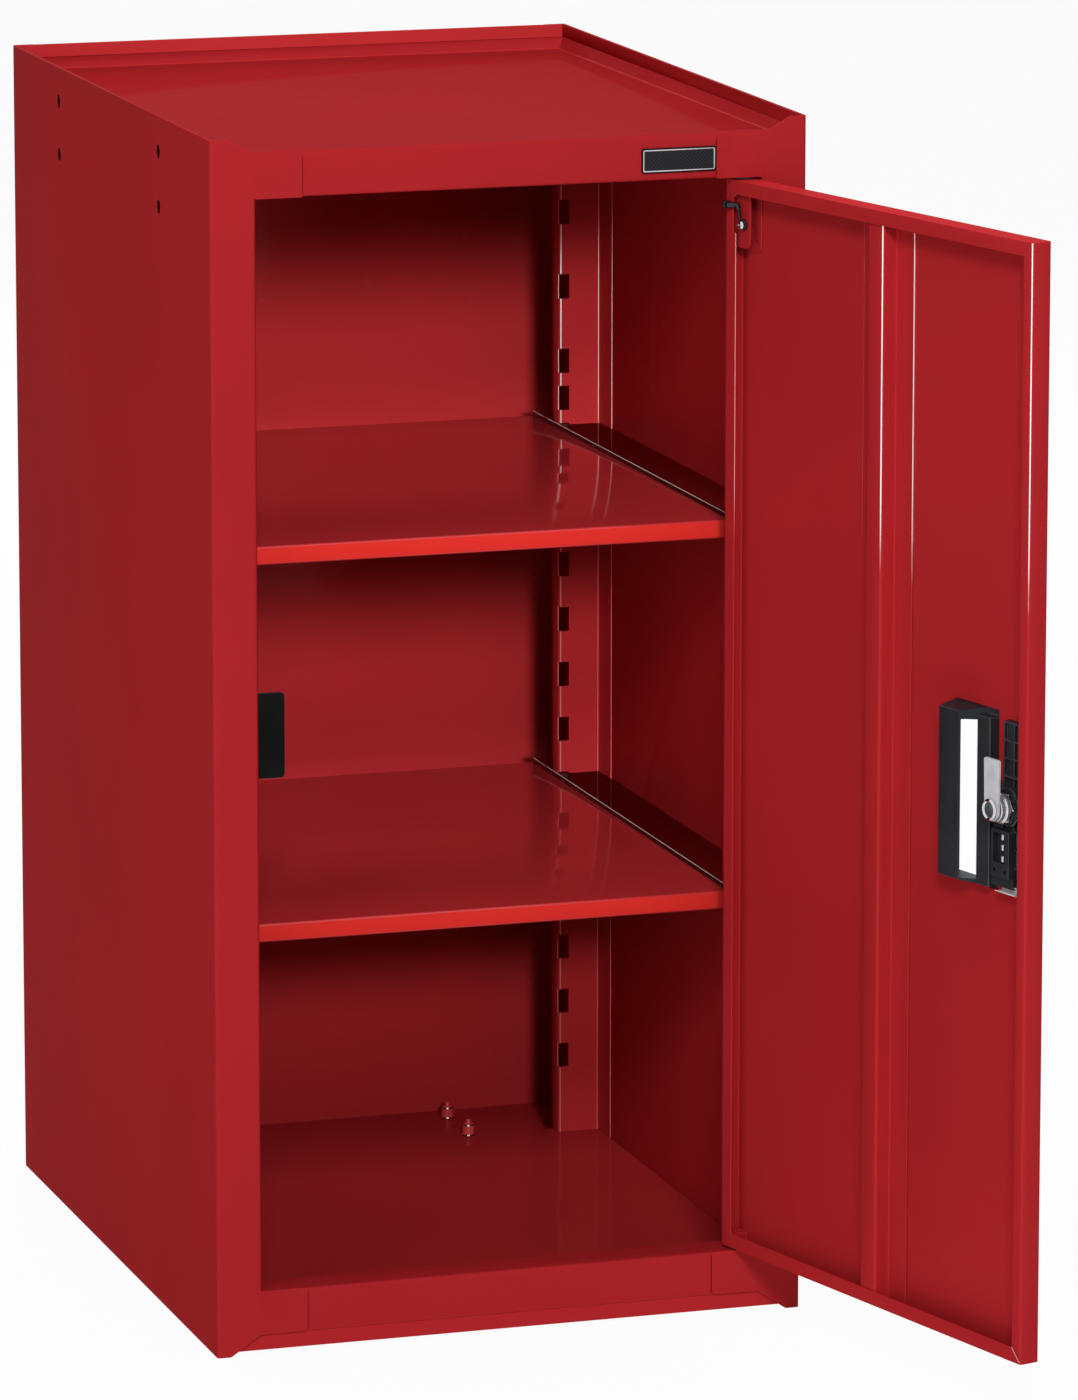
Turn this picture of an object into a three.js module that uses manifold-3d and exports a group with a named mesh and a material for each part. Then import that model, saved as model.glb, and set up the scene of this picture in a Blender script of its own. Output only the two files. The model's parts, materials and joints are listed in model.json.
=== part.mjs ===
import * as THREE from 'three';
import { mergeVertices } from 'three/addons/utils/BufferGeometryUtils.js';
import Module from 'manifold-3d';

const wasm = await Module();
wasm.setup();

// Outside of the carcass, in millimetres
const WIDTH = 384;
const DEPTH = 487;
const HEIGHT = 765;

// Folded sheet
const SHEET = 1;
const BEND = 2;
const BEND_STEPS = 4;
const HEM = 2.2;

// Gaps: between welded sheets, inside the turned door, around a shank in its hole
const FIT = 0.2;
const PLAY = 0.3;

// Front frame
const STILE = 29;
const STILE_RETURN = 15;
const TAB_REACH = 29.5;
const TAB_CORNER = 3;
const TAB_DROP = 1.5;
const TOP_RAIL = 37;
const BOTTOM_RAIL = 40.7;
const RAIL_RETURN = 25;
const SEAM = 13;
const LIP_BOTTOM = 2.5;
const FOOT_FLAT = 9;
const FOOT_SLOPE = 19.2;
const HEAD_FLAT = 11;
const HEAD_SLOPE = 14.5;

// Rim and tray on top
const RIM = 8.5;
const TRAY_DROP = 16;
const TRAY_SLOPE = 5;
const TRAY_WALL = 1.2;
const LEDGE = 6;

// Floor, back and base flanges
const FLOOR = 15.5;
const BASE_FLANGE = 20;
const BASE_SETBACK = 25;
const REAR_FLANGE = 15;

// Hanging holes in the left side
const HANG_RADIUS = 4.5;
const HANG_PITCH = 246.6;
const HANG_DROPS = [22.5, 57];

// Slotted uprights
const UPRIGHT_REACH = 30;
const UPRIGHT_WALL_FLANGE = 25;
const UPRIGHT_LIP = 15;
const REAR_UPRIGHT = 84;
const FRONT_UPRIGHT = 65;
const SLOT_FIRST = 69.7;
const SLOT_PITCH = 12.6;
const SLOT_STEPS = [0, 3, 6, 9, 12, 15, 18, 21, 24, 27, 34, 36, 38, 42, 46];
const SLOT_WIDTH = 6.5;
const SLOT_HEIGHT = 16.5;
const SLOT_NOTCH = 2;

// Shelves and their clips
const SHELF_SIDE_GAP = 4;
const SHELF_FRONT = 40;
const SHELF_BACK = 42;
const SHELF_FOLD = 12;
const SHELF_FOLD_RETURN = 8;
const SHELF_ABOVE_SLOT = 7;
const SHELF_STEPS = { lower: 15, upper: 34 };
const CLIP_SHEET = 1.5;
const CLIP_LEDGE = 18;
const CLIP_HALF_LENGTH = 8;
const CLIP_LUG = 7.4;

// Studs on the floor
const STUD_RADIUS = 4;
const STUD_HEIGHT = 11;
const STUD_COLLAR = 6;
const STUD_COLLAR_HEIGHT = 1.5;
const STUD_FROM_SIDE = 91;
const STUDS_FROM_BACK = [22.4, 71];

// Blank badge on the top rail
const BADGE_WIDTH = 48.6;
const BADGE_HEIGHT = 15.6;
const BADGE_THICKNESS = 1.3;
const BADGE_FROM_TAB = 0.6;
const BADGE_TOP_DROP = 16.6;

// Strike plate behind the left stile
const STRIKE_THICKNESS = 1.9;
const STRIKE_REACH = 21;
const STRIKE_BACKING = 13;
const STRIKE_HEIGHT = 54;
const STRIKE_OFFSET = 10;
const STRIKE_CORNER = 3;
const STRIKE_HOOK = 3;
const STRIKE_HOOK_DEPTH = 9;
const STRIKE_HOOK_HEIGHT = 38;

// Door pan and its pivot, standing open
const DOOR_OPEN = 105;
const DOOR_THICKNESS = 14;
const DOOR_RECESS = 0.8;
const DOOR_END_GAP = 1.8;
const DOOR_HINGE_GAP = 2;
const DOOR_FREE_GAP = 1.5;
const DOOR_HEM = 9;
const DOOR_HINGE_HEM = 11;
const PIVOT_INSET = 8;
const PIVOT_DEPTH = 6;

// Hinge pins, bushes and holders
const PIN_RADIUS = 3;
const PIN_INSIDE = 30;
const PIN_OUTSIDE = 7;
const BUSH_SLEEVE = 4.2;
const BUSH_COLLAR = 6.4;
const BUSH_TAIL = 2;
const ROUND_SIDES = 24;
const BRACKET_SHEET = 1.2;
const BRACKET_LEVEL = 3.5;
const BRACKET_REACH = 22;
const BRACKET_FOOT = 0.9;
const BRACKET_DROP = 42.5;
const BRACKET_FOOT_DROP = 3;
const BRACKET_CORNER = 4;
const BRACKET_BLOCK = 13;
const BRACKET_HOLE = 1.5;
const BRACKET_HOLE_INSET = 17.7;
const BRACKET_HOLE_DROP = 39.5;
const NOTCH_INSET = 8.5;
const NOTCH_TOP = 10.5;
const NOTCH_BOTTOM = 33;
const LOWER_BLOCK_HEIGHT = 8;
const LOWER_BLOCK_WIDTH = 13;

// Bent wire clip over the upper hinge and its screw
const WIRE_RADIUS = 2.1;
const WIRE_START = 3.7;
const WIRE_DROP = 14.6;
const EYE_DROP = 27.6;
const EYE_RADIUS = 4.2;
const EYE_INSET = 16.4;
const EYE_THICKNESS = 1.9;
const SCREW_RADIUS = 1.5;
const SCREW_HEAD = 3;
const SCREW_HEAD_HEIGHT = 2;

// Stiffener on the inside of the door
const HAT_FACE = 16.7;
const HAT_FLANGE = 18;
const HAT_OFFSET = 1.4;

// Handle housing: s distances are from the free edge, z distances from its centre
const HANDLE_CENTRE = 381;
const POCKET_START = 92;
const POCKET_BASE_END = 57.7;
const POCKET_BASE_HALF = 55;
const POCKET_FACE_START = 91.1;
const POCKET_FACE_END = 71;
const POCKET_FACE_HALF = 52;
const POCKET_LEVEL = 0.5;
const POCKET_WALL = 2.3;
const POCKET_TOP = 47;
const POCKET_BOTTOM = -51;
const COLUMN_START = 59.7;
const COLUMN_END = 46.5;
const COLUMN_LEVEL = 6.4;
const COLUMN_TOP = 51;
const COLUMN_BOTTOM = -53;
const PLATE_START = 37.5;
const PLATE_END = 9.5;
const PLATE_TOP = 51;
const PLATE_BOTTOM = -48.7;
const PLATE_LEVEL = 12;
const RIB_LEVEL = 10;
const RIB_THICKNESS = 1.2;
const RIB_PITCH = 11;
const RIB_COUNT = 8;
const RIB_COLUMN = 27.3;
const BEZEL_LIP = 4.5;
const BEZEL_THICKNESS = 1.3;
const BEZEL_CORNER = 6;
const BLOCK_START = 44;
const BLOCK_END = 25.9;
const BLOCK_LEVEL = 6;
const BLOCK_TOP = -15.4;
const BLOCK_BOTTOM = -44.7;
const BOSS_RADIUS = 12;

// Lock, its cam and the clip under the housing
const LOCK_FROM_EDGE = 28;
const LOCK_RADIUS = 7.5;
const LOCK_HEAD = 10;
const LOCK_HEAD_HEIGHT = 1.5;
const LOCK_NUT = 10.4;
const LOCK_NUT_HEIGHT = 3;
const LOCK_RAISE = 3.7;
const PLUG_RADIUS = 5;
const KEYWAY = [1.4, 6.6, 6];
const CAM_THICKNESS = 2;
const CAM_HALF_WIDTH = 7.5;
const CAM_LENGTH = 31;
const CAM_NUT = 5.8;
const CAM_NUT_HEIGHT = 2.8;
const CLIP_STRIP = 1.2;
const CLIP_DROP = 3.4;
const CLIP_FROM_EDGE = 29.5;
const CLIP_HALF_WIDTH = 10;
const CLIP_LEAF = 3.7;
const CLIP_LONG_LEAF = 6.7;

// Derived levels
const BACK = SHEET + FIT + BASE_FLANGE / 2;
const FRONT = BACK - DEPTH;
const HALF = WIDTH / 2;
const OPENING_TOP = HEIGHT - TOP_RAIL;
const RIM_LEVEL = HEIGHT - RIM;
const TRAY_FLOOR = HEIGHT - TRAY_DROP;
const RAIL_Y = FRONT + SHEET + FIT;
const RAIL_END = BEND + FIT;
const PAN_FRONT = FRONT + 2 * (SHEET + FIT);
const PAN_BACK = BACK - 2 * (SHEET + FIT);
const INSIDE = HALF - SHEET - FIT;
const TAB_END = STILE + TAB_REACH;
const UPRIGHT_BOTTOM = FLOOR + FIT;
const UPRIGHT_TOP = TRAY_FLOOR - SHEET - FIT;

// Door levels: s runs from the hinge edge to the free edge, d from the hem face to the skin
const DOOR_WIDTH = WIDTH - 2 * STILE - DOOR_HINGE_GAP - DOOR_FREE_GAP;
const DOOR_BOTTOM = BOTTOM_RAIL + DOOR_END_GAP;
const DOOR_TOP = OPENING_TOP - DOOR_END_GAP;
const PIVOT_X = HALF - STILE - DOOR_HINGE_GAP - PIVOT_INSET;
const PIVOT_Y = FRONT + DOOR_RECESS + PIVOT_DEPTH;
const PIVOT_D = DOOR_THICKNESS - PIVOT_DEPTH;
const SKIN = DOOR_THICKNESS - SHEET;
const ON_SKIN = SKIN - PLAY;
const LOCK_S = DOOR_WIDTH - LOCK_FROM_EDGE;
const BEZEL_LEVEL = DOOR_THICKNESS + PLAY;
const CAM_LEVEL = -LOCK_RAISE - PLAY;

// A closed solid from a three.js geometry
function solidOf(geometry) {
  const bare = geometry.clone();
  bare.deleteAttribute('normal');
  bare.deleteAttribute('uv');
  const welded = mergeVertices(bare, 1e-4);
  return new wasm.Manifold(new wasm.Mesh({
    numProp: 3,
    vertProperties: welded.attributes.position.array,
    triVerts: welded.index.array,
  }));
}

function geometryOf(solid) {
  const mesh = solid.getMesh();
  const geometry = new THREE.BufferGeometry();
  geometry.setAttribute('position', new THREE.BufferAttribute(new Float32Array(mesh.vertProperties), 3));
  geometry.setIndex(new THREE.BufferAttribute(new Uint32Array(mesh.triVerts), 1));
  geometry.computeVertexNormals();
  return geometry;
}

// A box between two limits along each axis, given in either order
function block([x0, x1], [y0, y1], [z0, z1]) {
  const geometry = new THREE.BoxGeometry(Math.abs(x1 - x0), Math.abs(y1 - y0), Math.abs(z1 - z0));
  geometry.translate((x0 + x1) / 2, (y0 + y1) / 2, (z0 + z1) / 2);
  return solidOf(geometry);
}

// A prism: the outline lies in the two other axes, in x, y, z order
function prism(axis, outline, from, to) {
  const shape = new THREE.Shape(outline.map(([a, b]) => new THREE.Vector2(a, b)));
  const geometry = new THREE.ExtrudeGeometry(shape, { depth: to - from, bevelEnabled: false });
  const x = new THREE.Vector3(1, 0, 0);
  const y = new THREE.Vector3(0, 1, 0);
  const z = new THREE.Vector3(0, 0, 1);
  const turn = new THREE.Matrix4();
  if (axis === 'x') {
    turn.makeBasis(y, z, x);
    geometry.applyMatrix4(turn);
    geometry.translate(from, 0, 0);
  } else if (axis === 'y') {
    turn.makeBasis(x, z, y.clone().negate());
    geometry.applyMatrix4(turn);
    geometry.translate(0, to, 0);
  } else {
    geometry.translate(0, 0, from);
  }
  return solidOf(geometry);
}

function ring(a, b, radius, sides = ROUND_SIDES, phase = 0) {
  return Array.from({ length: sides }, (_, i) => {
    const angle = phase + (i * 2 * Math.PI) / sides;
    return [a + radius * Math.cos(angle), b + radius * Math.sin(angle)];
  });
}

function rod(axis, [a, b], radius, from, to, sides = ROUND_SIDES) {
  return prism(axis, ring(a, b, radius, sides), Math.min(from, to), Math.max(from, to));
}

// Outline with arcs: a third number on a point is its corner radius
function rounded(points) {
  const outline = [];
  points.forEach(([x, y, radius = 0], i) => {
    if (radius === 0) {
      outline.push([x, y]);
      return;
    }
    const corner = new THREE.Vector2(x, y);
    const [px, py] = points[(i + points.length - 1) % points.length];
    const [nx, ny] = points[(i + 1) % points.length];
    const back = new THREE.Vector2(px, py).sub(corner).normalize();
    const ahead = new THREE.Vector2(nx, ny).sub(corner).normalize();
    const half = Math.acos(back.dot(ahead)) / 2;
    const start = corner.clone().addScaledVector(back, radius / Math.tan(half));
    const end = corner.clone().addScaledVector(ahead, radius / Math.tan(half));
    const middle = back.clone().add(ahead).normalize();
    const centre = corner.clone().addScaledVector(middle, radius / Math.sin(half));
    const a0 = Math.atan2(start.y - centre.y, start.x - centre.x);
    const a1 = Math.atan2(end.y - centre.y, end.x - centre.x);
    const sweep = Math.atan2(Math.sin(a1 - a0), Math.cos(a1 - a0));
    for (let step = 0; step <= BEND_STEPS; step += 1) {
      const angle = a0 + (sweep * step) / BEND_STEPS;
      outline.push([centre.x + radius * Math.cos(angle), centre.y + radius * Math.sin(angle)]);
    }
  });
  return outline;
}

// Section of a folded sheet that lies to the left of the path
function folded(path, sheet = SHEET) {
  const inner = BEND - SHEET;
  const ways = path.slice(1).map(([x, y], i) => new THREE.Vector2(x - path[i][0], y - path[i][1]).normalize());
  const near = path.map(([x, y]) => [x, y]);
  const far = path.map(([x, y], i) => {
    const before = ways[Math.max(i - 1, 0)];
    const after = ways[Math.min(i, ways.length - 1)];
    const shiftX = -before.y - after.y;
    const shiftY = before.x + after.x;
    const scale = sheet / (1 + before.dot(after));
    return [x + shiftX * scale, y + shiftY * scale];
  });
  for (let i = 1; i < path.length - 1; i += 1) {
    const left = ways[i - 1].cross(ways[i]) > 0;
    near[i].push(left ? inner + sheet : inner);
    far[i].push(left ? inner : inner + sheet);
  }
  return rounded([...near, ...far.reverse()]);
}

// A six-sided solid: four corners at one level, counter-clockwise from above, then four above them
function hexahedron(low, high) {
  const geometry = new THREE.BufferGeometry();
  geometry.setAttribute('position', new THREE.Float32BufferAttribute([...low, ...high].flat(), 3));
  geometry.setIndex([
    0, 2, 1, 0, 3, 2,
    4, 5, 6, 4, 6, 7,
    0, 1, 5, 0, 5, 4,
    1, 2, 6, 1, 6, 5,
    2, 3, 7, 2, 7, 6,
    3, 0, 4, 3, 4, 7,
  ]);
  return solidOf(geometry);
}

// A straight round bar between two points
function bar(from, to, radius, sides = ROUND_SIDES) {
  const start = new THREE.Vector3(...from);
  const way = new THREE.Vector3(...to).sub(start);
  const geometry = new THREE.CylinderGeometry(radius, radius, way.length(), sides);
  geometry.translate(0, way.length() / 2, 0);
  const turn = new THREE.Quaternion().setFromUnitVectors(new THREE.Vector3(0, 1, 0), way.clone().normalize());
  geometry.applyQuaternion(turn);
  geometry.translate(start.x, start.y, start.z);
  return solidOf(geometry);
}

function ball([x, y, z], radius) {
  const geometry = new THREE.SphereGeometry(radius, ROUND_SIDES / 2, ROUND_SIDES / 4);
  geometry.translate(x, y, z);
  return solidOf(geometry);
}

const FINISHES = {
  paint: { color: 0xa01c22, metalness: 0.2, roughness: 0.3 },
  black: { color: 0x1c1d20, metalness: 0, roughness: 0.5 },
  steel: { color: 0xb9bcc0, metalness: 1, roughness: 0.35 },
  nylon: { color: 0x2a2a2c, metalness: 0, roughness: 0.6 },
};

const part = new THREE.Group();
part.name = 'tool_chest_side_locker';
const door = new THREE.Group();
door.name = 'door';
door.position.set(PIVOT_X, PIVOT_Y, 0);
door.rotation.z = THREE.MathUtils.degToRad(DOOR_OPEN);
part.add(door);

function place(group, name, finish, solid) {
  const mesh = new THREE.Mesh(geometryOf(solid), new THREE.MeshStandardMaterial(FINISHES[finish]));
  mesh.name = name;
  group.add(mesh);
}

function join(first, ...rest) {
  return rest.reduce((whole, piece) => whole.add(piece), first);
}

function cut(first, ...rest) {
  return rest.reduce((whole, piece) => whole.subtract(piece), first);
}

// u is measured inwards from the outer face of a side; the left side has the sign -1
function fromSide(side, u) {
  return side * (HALF - u);
}

function sideOutline(side, outline) {
  return outline.map(([u, v]) => [fromSide(side, u), v]);
}

function sideBlock(side, [u0, u1], y, z) {
  return block([fromSide(side, u0), fromSide(side, u1)], y, z);
}

// Side panel: side plate, stile with its return and corner tabs, hem and base flange
function sidePanel(side) {
  const path = [
    [REAR_FLANGE, BACK],
    [0, BACK],
    [0, FRONT],
    [STILE, FRONT],
    [STILE, FRONT + STILE_RETURN],
  ];
  const shell = prism('z', sideOutline(side, folded(path)), 0, HEIGHT);
  const stileEdge = [STILE - BEND, STILE + FIT];
  const stileDepth = [FRONT - FIT, FRONT + STILE_RETURN + FIT];
  const tabFace = [FRONT, FRONT + SHEET];
  const lowTab = rounded([
    [STILE - BEND, SEAM],
    [TAB_END, SEAM, TAB_CORNER],
    [TAB_END, BOTTOM_RAIL + FIT],
    [STILE - BEND, BOTTOM_RAIL + FIT],
  ]);
  const highTab = rounded([
    [STILE - BEND, OPENING_TOP - FIT],
    [TAB_END, OPENING_TOP - FIT],
    [TAB_END, RIM_LEVEL - TAB_DROP, TAB_CORNER],
    [STILE - BEND, RIM_LEVEL - TAB_DROP],
  ]);
  const footCut = [
    [FOOT_FLAT, -SHEET],
    [FOOT_FLAT, 0],
    [FOOT_FLAT + FOOT_SLOPE, SEAM],
    [STILE + SHEET, SEAM],
    [STILE + SHEET, -SHEET],
  ];
  const headCut = [
    [HEAD_FLAT, HEIGHT + SHEET],
    [HEAD_FLAT, HEIGHT],
    [HEAD_FLAT + HEAD_SLOPE, RIM_LEVEL],
    [STILE + SHEET, RIM_LEVEL],
    [STILE + SHEET, HEIGHT + SHEET],
  ];
  const opened = cut(
    shell,
    sideBlock(side, stileEdge, stileDepth, [-SHEET, BOTTOM_RAIL + FIT]),
    sideBlock(side, stileEdge, stileDepth, [OPENING_TOP - FIT, HEIGHT + SHEET]),
    prism('y', sideOutline(side, footCut), ...stileDepth),
    prism('y', sideOutline(side, headCut), ...stileDepth),
  );
  return join(
    opened,
    prism('y', sideOutline(side, lowTab), ...tabFace),
    prism('y', sideOutline(side, highTab), ...tabFace),
    sideBlock(side, [0, HEM], [FRONT + BEND, BACK - BEND], [RIM_LEVEL, HEIGHT]),
    sideBlock(side, [0, BASE_FLANGE], [FRONT + BASE_SETBACK, PAN_BACK - SHEET], [0, SHEET]),
  );
}

const middleY = (FRONT + BACK) / 2;
const hangHoles = HANG_DROPS.flatMap((drop) => [-1, 1].map((end) => rod(
  'x',
  [middleY + (end * HANG_PITCH) / 2, HEIGHT - drop],
  HANG_RADIUS,
  -HALF - SHEET,
  -HALF + 2 * SHEET,
)));
place(part, 'left_side_panel', 'paint', cut(sidePanel(-1), ...hangHoles));
place(part, 'right_side_panel', 'paint', sidePanel(1));

// Back panel with a hemmed top and a base flange
const backHalf = HALF - HEM - FIT;
const backFace = BACK - SHEET - FIT;
place(part, 'back_panel', 'paint', join(
  block([-backHalf, backHalf], [backFace - SHEET, backFace], [0, HEIGHT]),
  block([-backHalf, backHalf], [backFace - HEM, backFace], [RIM_LEVEL, HEIGHT]),
  block([-INSIDE + BASE_FLANGE, INSIDE - BASE_FLANGE], [backFace - BASE_FLANGE, backFace], [0, SHEET]),
));

// Top panel: a shallow tray that folds over at the front into the top rail
const trayTop = RIM_LEVEL - FIT;
const traySlope = TRAY_SLOPE / (trayTop - TRAY_FLOOR + SHEET);
const trayFront = RAIL_Y + LEDGE - BEND;
function trayLevel(z, wall) {
  const inset = wall + traySlope * (trayTop - z);
  const x = INSIDE - inset;
  const front = trayFront + inset;
  const back = PAN_BACK - inset;
  return [[-x, front, z], [x, front, z], [x, back, z], [-x, back, z]];
}
const tray = cut(
  hexahedron(trayLevel(TRAY_FLOOR - SHEET, 0), trayLevel(trayTop, 0)),
  hexahedron(trayLevel(TRAY_FLOOR, TRAY_WALL), trayLevel(trayTop + SHEET, TRAY_WALL)),
);
const topRailPath = [
  [RAIL_Y + LEDGE, RIM_LEVEL],
  [RAIL_Y, RIM_LEVEL],
  [RAIL_Y, OPENING_TOP],
  [RAIL_Y + RAIL_RETURN, OPENING_TOP],
];
const railHalf = HALF - RAIL_END;
const pivotHole = (from, to) => rod('z', [PIVOT_X, PIVOT_Y], BUSH_SLEEVE + PLAY, from, to);
place(part, 'top_panel', 'paint', cut(
  join(tray, prism('x', folded(topRailPath), -railHalf, railHalf)),
  pivotHole(OPENING_TOP - SHEET, OPENING_TOP + 2 * SHEET),
));

// Bottom pan: the floor with its edges turned down
const panUnderside = SHEET + FIT;
place(part, 'bottom_pan', 'paint', cut(
  block([-INSIDE, INSIDE], [PAN_FRONT, PAN_BACK], [panUnderside, FLOOR]),
  block([-INSIDE + SHEET, INSIDE - SHEET], [PAN_FRONT + SHEET, PAN_BACK - SHEET], [0, FLOOR - SHEET]),
  block([-INSIDE + SHEET, INSIDE - SHEET], [PAN_FRONT - SHEET, PAN_FRONT + 2 * SHEET], [0, LIP_BOTTOM]),
));

// Bottom rail behind the corner tabs
const bottomRailPath = [
  [RAIL_Y + RAIL_RETURN, BOTTOM_RAIL],
  [RAIL_Y, BOTTOM_RAIL],
  [RAIL_Y, SEAM],
];
place(part, 'bottom_rail', 'paint', cut(
  prism('x', folded(bottomRailPath), -railHalf, railHalf),
  pivotHole(BOTTOM_RAIL - 2 * SHEET, BOTTOM_RAIL + SHEET),
));

// Uprights: the front pair is the rear pair turned to face it
const UPRIGHTS = [
  { name: 'rear_left', side: -1, web: (v) => BACK - v, inset: REAR_UPRIGHT },
  { name: 'rear_right', side: 1, web: (v) => BACK - v, inset: REAR_UPRIGHT },
  { name: 'front_left', side: -1, web: (v) => FRONT + v, inset: FRONT_UPRIGHT },
  { name: 'front_right', side: 1, web: (v) => FRONT + v, inset: FRONT_UPRIGHT },
];
const slotLevels = SLOT_STEPS.map((step) => SLOT_FIRST + step * SLOT_PITCH);
const wallGap = SHEET + FIT;
for (const { name, side, web, inset } of UPRIGHTS) {
  const path = [
    [UPRIGHT_REACH, inset - UPRIGHT_LIP],
    [UPRIGHT_REACH, inset - SHEET],
    [wallGap, inset - SHEET],
    [wallGap, inset + UPRIGHT_WALL_FLANGE],
  ];
  const section = folded(path.map(([u, v]) => [u, -v])).map(([u, v]) => [fromSide(side, u), web(-v)]);
  const slots = slotLevels.map((level) => sideBlock(
    side,
    [UPRIGHT_REACH - SLOT_WIDTH, UPRIGHT_REACH + 2 * SHEET],
    [web(inset + SHEET), web(inset - SLOT_NOTCH)],
    [level - SLOT_HEIGHT / 2, level + SLOT_HEIGHT / 2],
  ));
  place(part, `${name}_upright`, 'paint', cut(prism('z', section, UPRIGHT_BOTTOM, UPRIGHT_TOP), ...slots));
}

// Shelves on clips hooked into the uprights
const uprightFace = UPRIGHT_REACH + SHEET;
const shelfHalf = HALF - uprightFace - SHELF_SIDE_GAP;
for (const [level, step] of Object.entries(SHELF_STEPS)) {
  const slot = SLOT_FIRST + step * SLOT_PITCH;
  const top = slot + SHELF_ABOVE_SLOT;
  const front = FRONT + SHELF_FRONT;
  const back = BACK - SHELF_BACK;
  const path = [
    [back - SHELF_FOLD_RETURN, top - SHELF_FOLD],
    [back, top - SHELF_FOLD],
    [back, top],
    [front, top],
    [front, top - SHELF_FOLD],
    [front + SHELF_FOLD_RETURN, top - SHELF_FOLD],
  ];
  const flange = [-1, 1].map((side) => block(
    [side * shelfHalf, side * (shelfHalf - SHEET)],
    [front + BEND, back - BEND],
    [top - SHELF_FOLD, top - SHEET / 2],
  ));
  place(part, `${level}_shelf`, 'paint', join(prism('x', folded(path), -shelfHalf, shelfHalf), ...flange));
  const seat = top - SHELF_FOLD - FIT;
  for (const { name, side, web, inset } of UPRIGHTS) {
    const along = [web(inset - CLIP_HALF_LENGTH), web(inset + CLIP_HALF_LENGTH)];
    const plate = [uprightFace + FIT, uprightFace + FIT + CLIP_SHEET];
    place(part, `${level}_${name}_clip`, 'steel', join(
      sideBlock(side, [plate[0], plate[0] + CLIP_LEDGE], along, [seat - CLIP_SHEET, seat]),
      sideBlock(side, plate, along, [seat - CLIP_SHEET, slot + CLIP_LUG]),
      sideBlock(
        side,
        [UPRIGHT_REACH - SLOT_WIDTH + 2 * PLAY, plate[1]],
        [web(inset + CLIP_SHEET), web(inset - SLOT_NOTCH + PLAY)],
        [Math.max(seat, slot - CLIP_LUG), slot + CLIP_LUG],
      ),
    ));
  }
}

// Studs on the floor
STUDS_FROM_BACK.forEach((distance, row) => {
  for (const [name, side] of [['left', -1], ['right', 1]]) {
    const foot = [fromSide(side, STUD_FROM_SIDE), BACK - distance];
    const seat = FLOOR + FIT;
    place(part, `floor_stud_${name}_${row + 1}`, 'paint', join(
      rod('z', foot, STUD_COLLAR, seat, seat + STUD_COLLAR_HEIGHT),
      rod('z', foot, STUD_RADIUS, seat, seat + STUD_HEIGHT),
    ));
  }
});

// Blank badge on the face of the top rail, beside the right corner tab
const badgeRight = HALF - TAB_END - BADGE_FROM_TAB;
const badgeTop = HEIGHT - BADGE_TOP_DROP;
const badgeFace = RAIL_Y - FIT;
place(part, 'badge_plate', 'black', block(
  [badgeRight - BADGE_WIDTH, badgeRight],
  [badgeFace - BADGE_THICKNESS, badgeFace],
  [badgeTop - BADGE_HEIGHT, badgeTop],
));

// Strike plate hooked over the return of the left stile
const strikeFace = FRONT + STILE_RETURN + PLAY;
const strikeMiddle = HANDLE_CENTRE + STRIKE_OFFSET;
const strikeOutline = rounded([
  [STILE - STRIKE_BACKING, strikeMiddle - STRIKE_HEIGHT / 2],
  [STILE + STRIKE_REACH, strikeMiddle - STRIKE_HEIGHT / 2, STRIKE_CORNER],
  [STILE + STRIKE_REACH, strikeMiddle + STRIKE_HEIGHT / 2, STRIKE_CORNER],
  [STILE - STRIKE_BACKING, strikeMiddle + STRIKE_HEIGHT / 2],
]);
const hookSide = STILE - SHEET - FIT;
place(part, 'strike_plate', 'black', join(
  prism('y', sideOutline(-1, strikeOutline), strikeFace, strikeFace + STRIKE_THICKNESS),
  sideBlock(
    -1,
    [hookSide - STRIKE_HOOK, hookSide],
    [strikeFace - STRIKE_HOOK_DEPTH, strikeFace + STRIKE_THICKNESS / 2],
    [strikeMiddle - STRIKE_HOOK_HEIGHT / 2, strikeMiddle + STRIKE_HOOK_HEIGHT / 2],
  ),
));

// Bushes in the rails, around the hinge pins
function bush(end, rail, doorEnd) {
  const seat = rail - end * FIT;
  const stop = doorEnd + end * PLAY;
  const tail = rail + end * (SHEET + BUSH_TAIL);
  return cut(
    join(
      rod('z', [PIVOT_X, PIVOT_Y], BUSH_COLLAR, seat, stop),
      rod('z', [PIVOT_X, PIVOT_Y], BUSH_SLEEVE, stop, tail),
    ),
    rod('z', [PIVOT_X, PIVOT_Y], PIN_RADIUS + PLAY, stop - end * SHEET, tail + end * SHEET),
  );
}
place(part, 'upper_hinge_bush', 'nylon', bush(1, OPENING_TOP, DOOR_TOP));
place(part, 'lower_hinge_bush', 'nylon', bush(-1, BOTTOM_RAIL, DOOR_BOTTOM));

// Door coordinates: from (s, d) to the pivot's own frame
function onDoor(s, d) {
  return [PIVOT_INSET - s, PIVOT_D - d];
}

function doorOutline(outline) {
  return outline.map(([s, d]) => onDoor(s, d));
}

function doorBlock([s0, s1], [d0, d1], z) {
  const [x0, y0] = onDoor(s0, d0);
  const [x1, y1] = onDoor(s1, d1);
  return block([x0, x1], [y0, y1], z);
}

function doorRod(s, z, radius, d0, d1, sides = ROUND_SIDES) {
  const [x, y0] = onDoor(s, d0);
  return rod('y', [x, z], radius, y0, onDoor(s, d1)[1], sides);
}

// A plate parallel to the door, outlined in s and z
function doorPlate(outline, d0, d1) {
  return prism('y', outline.map(([s, z]) => [PIVOT_INSET - s, z]), onDoor(0, d1)[1], onDoor(0, d0)[1]);
}

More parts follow.
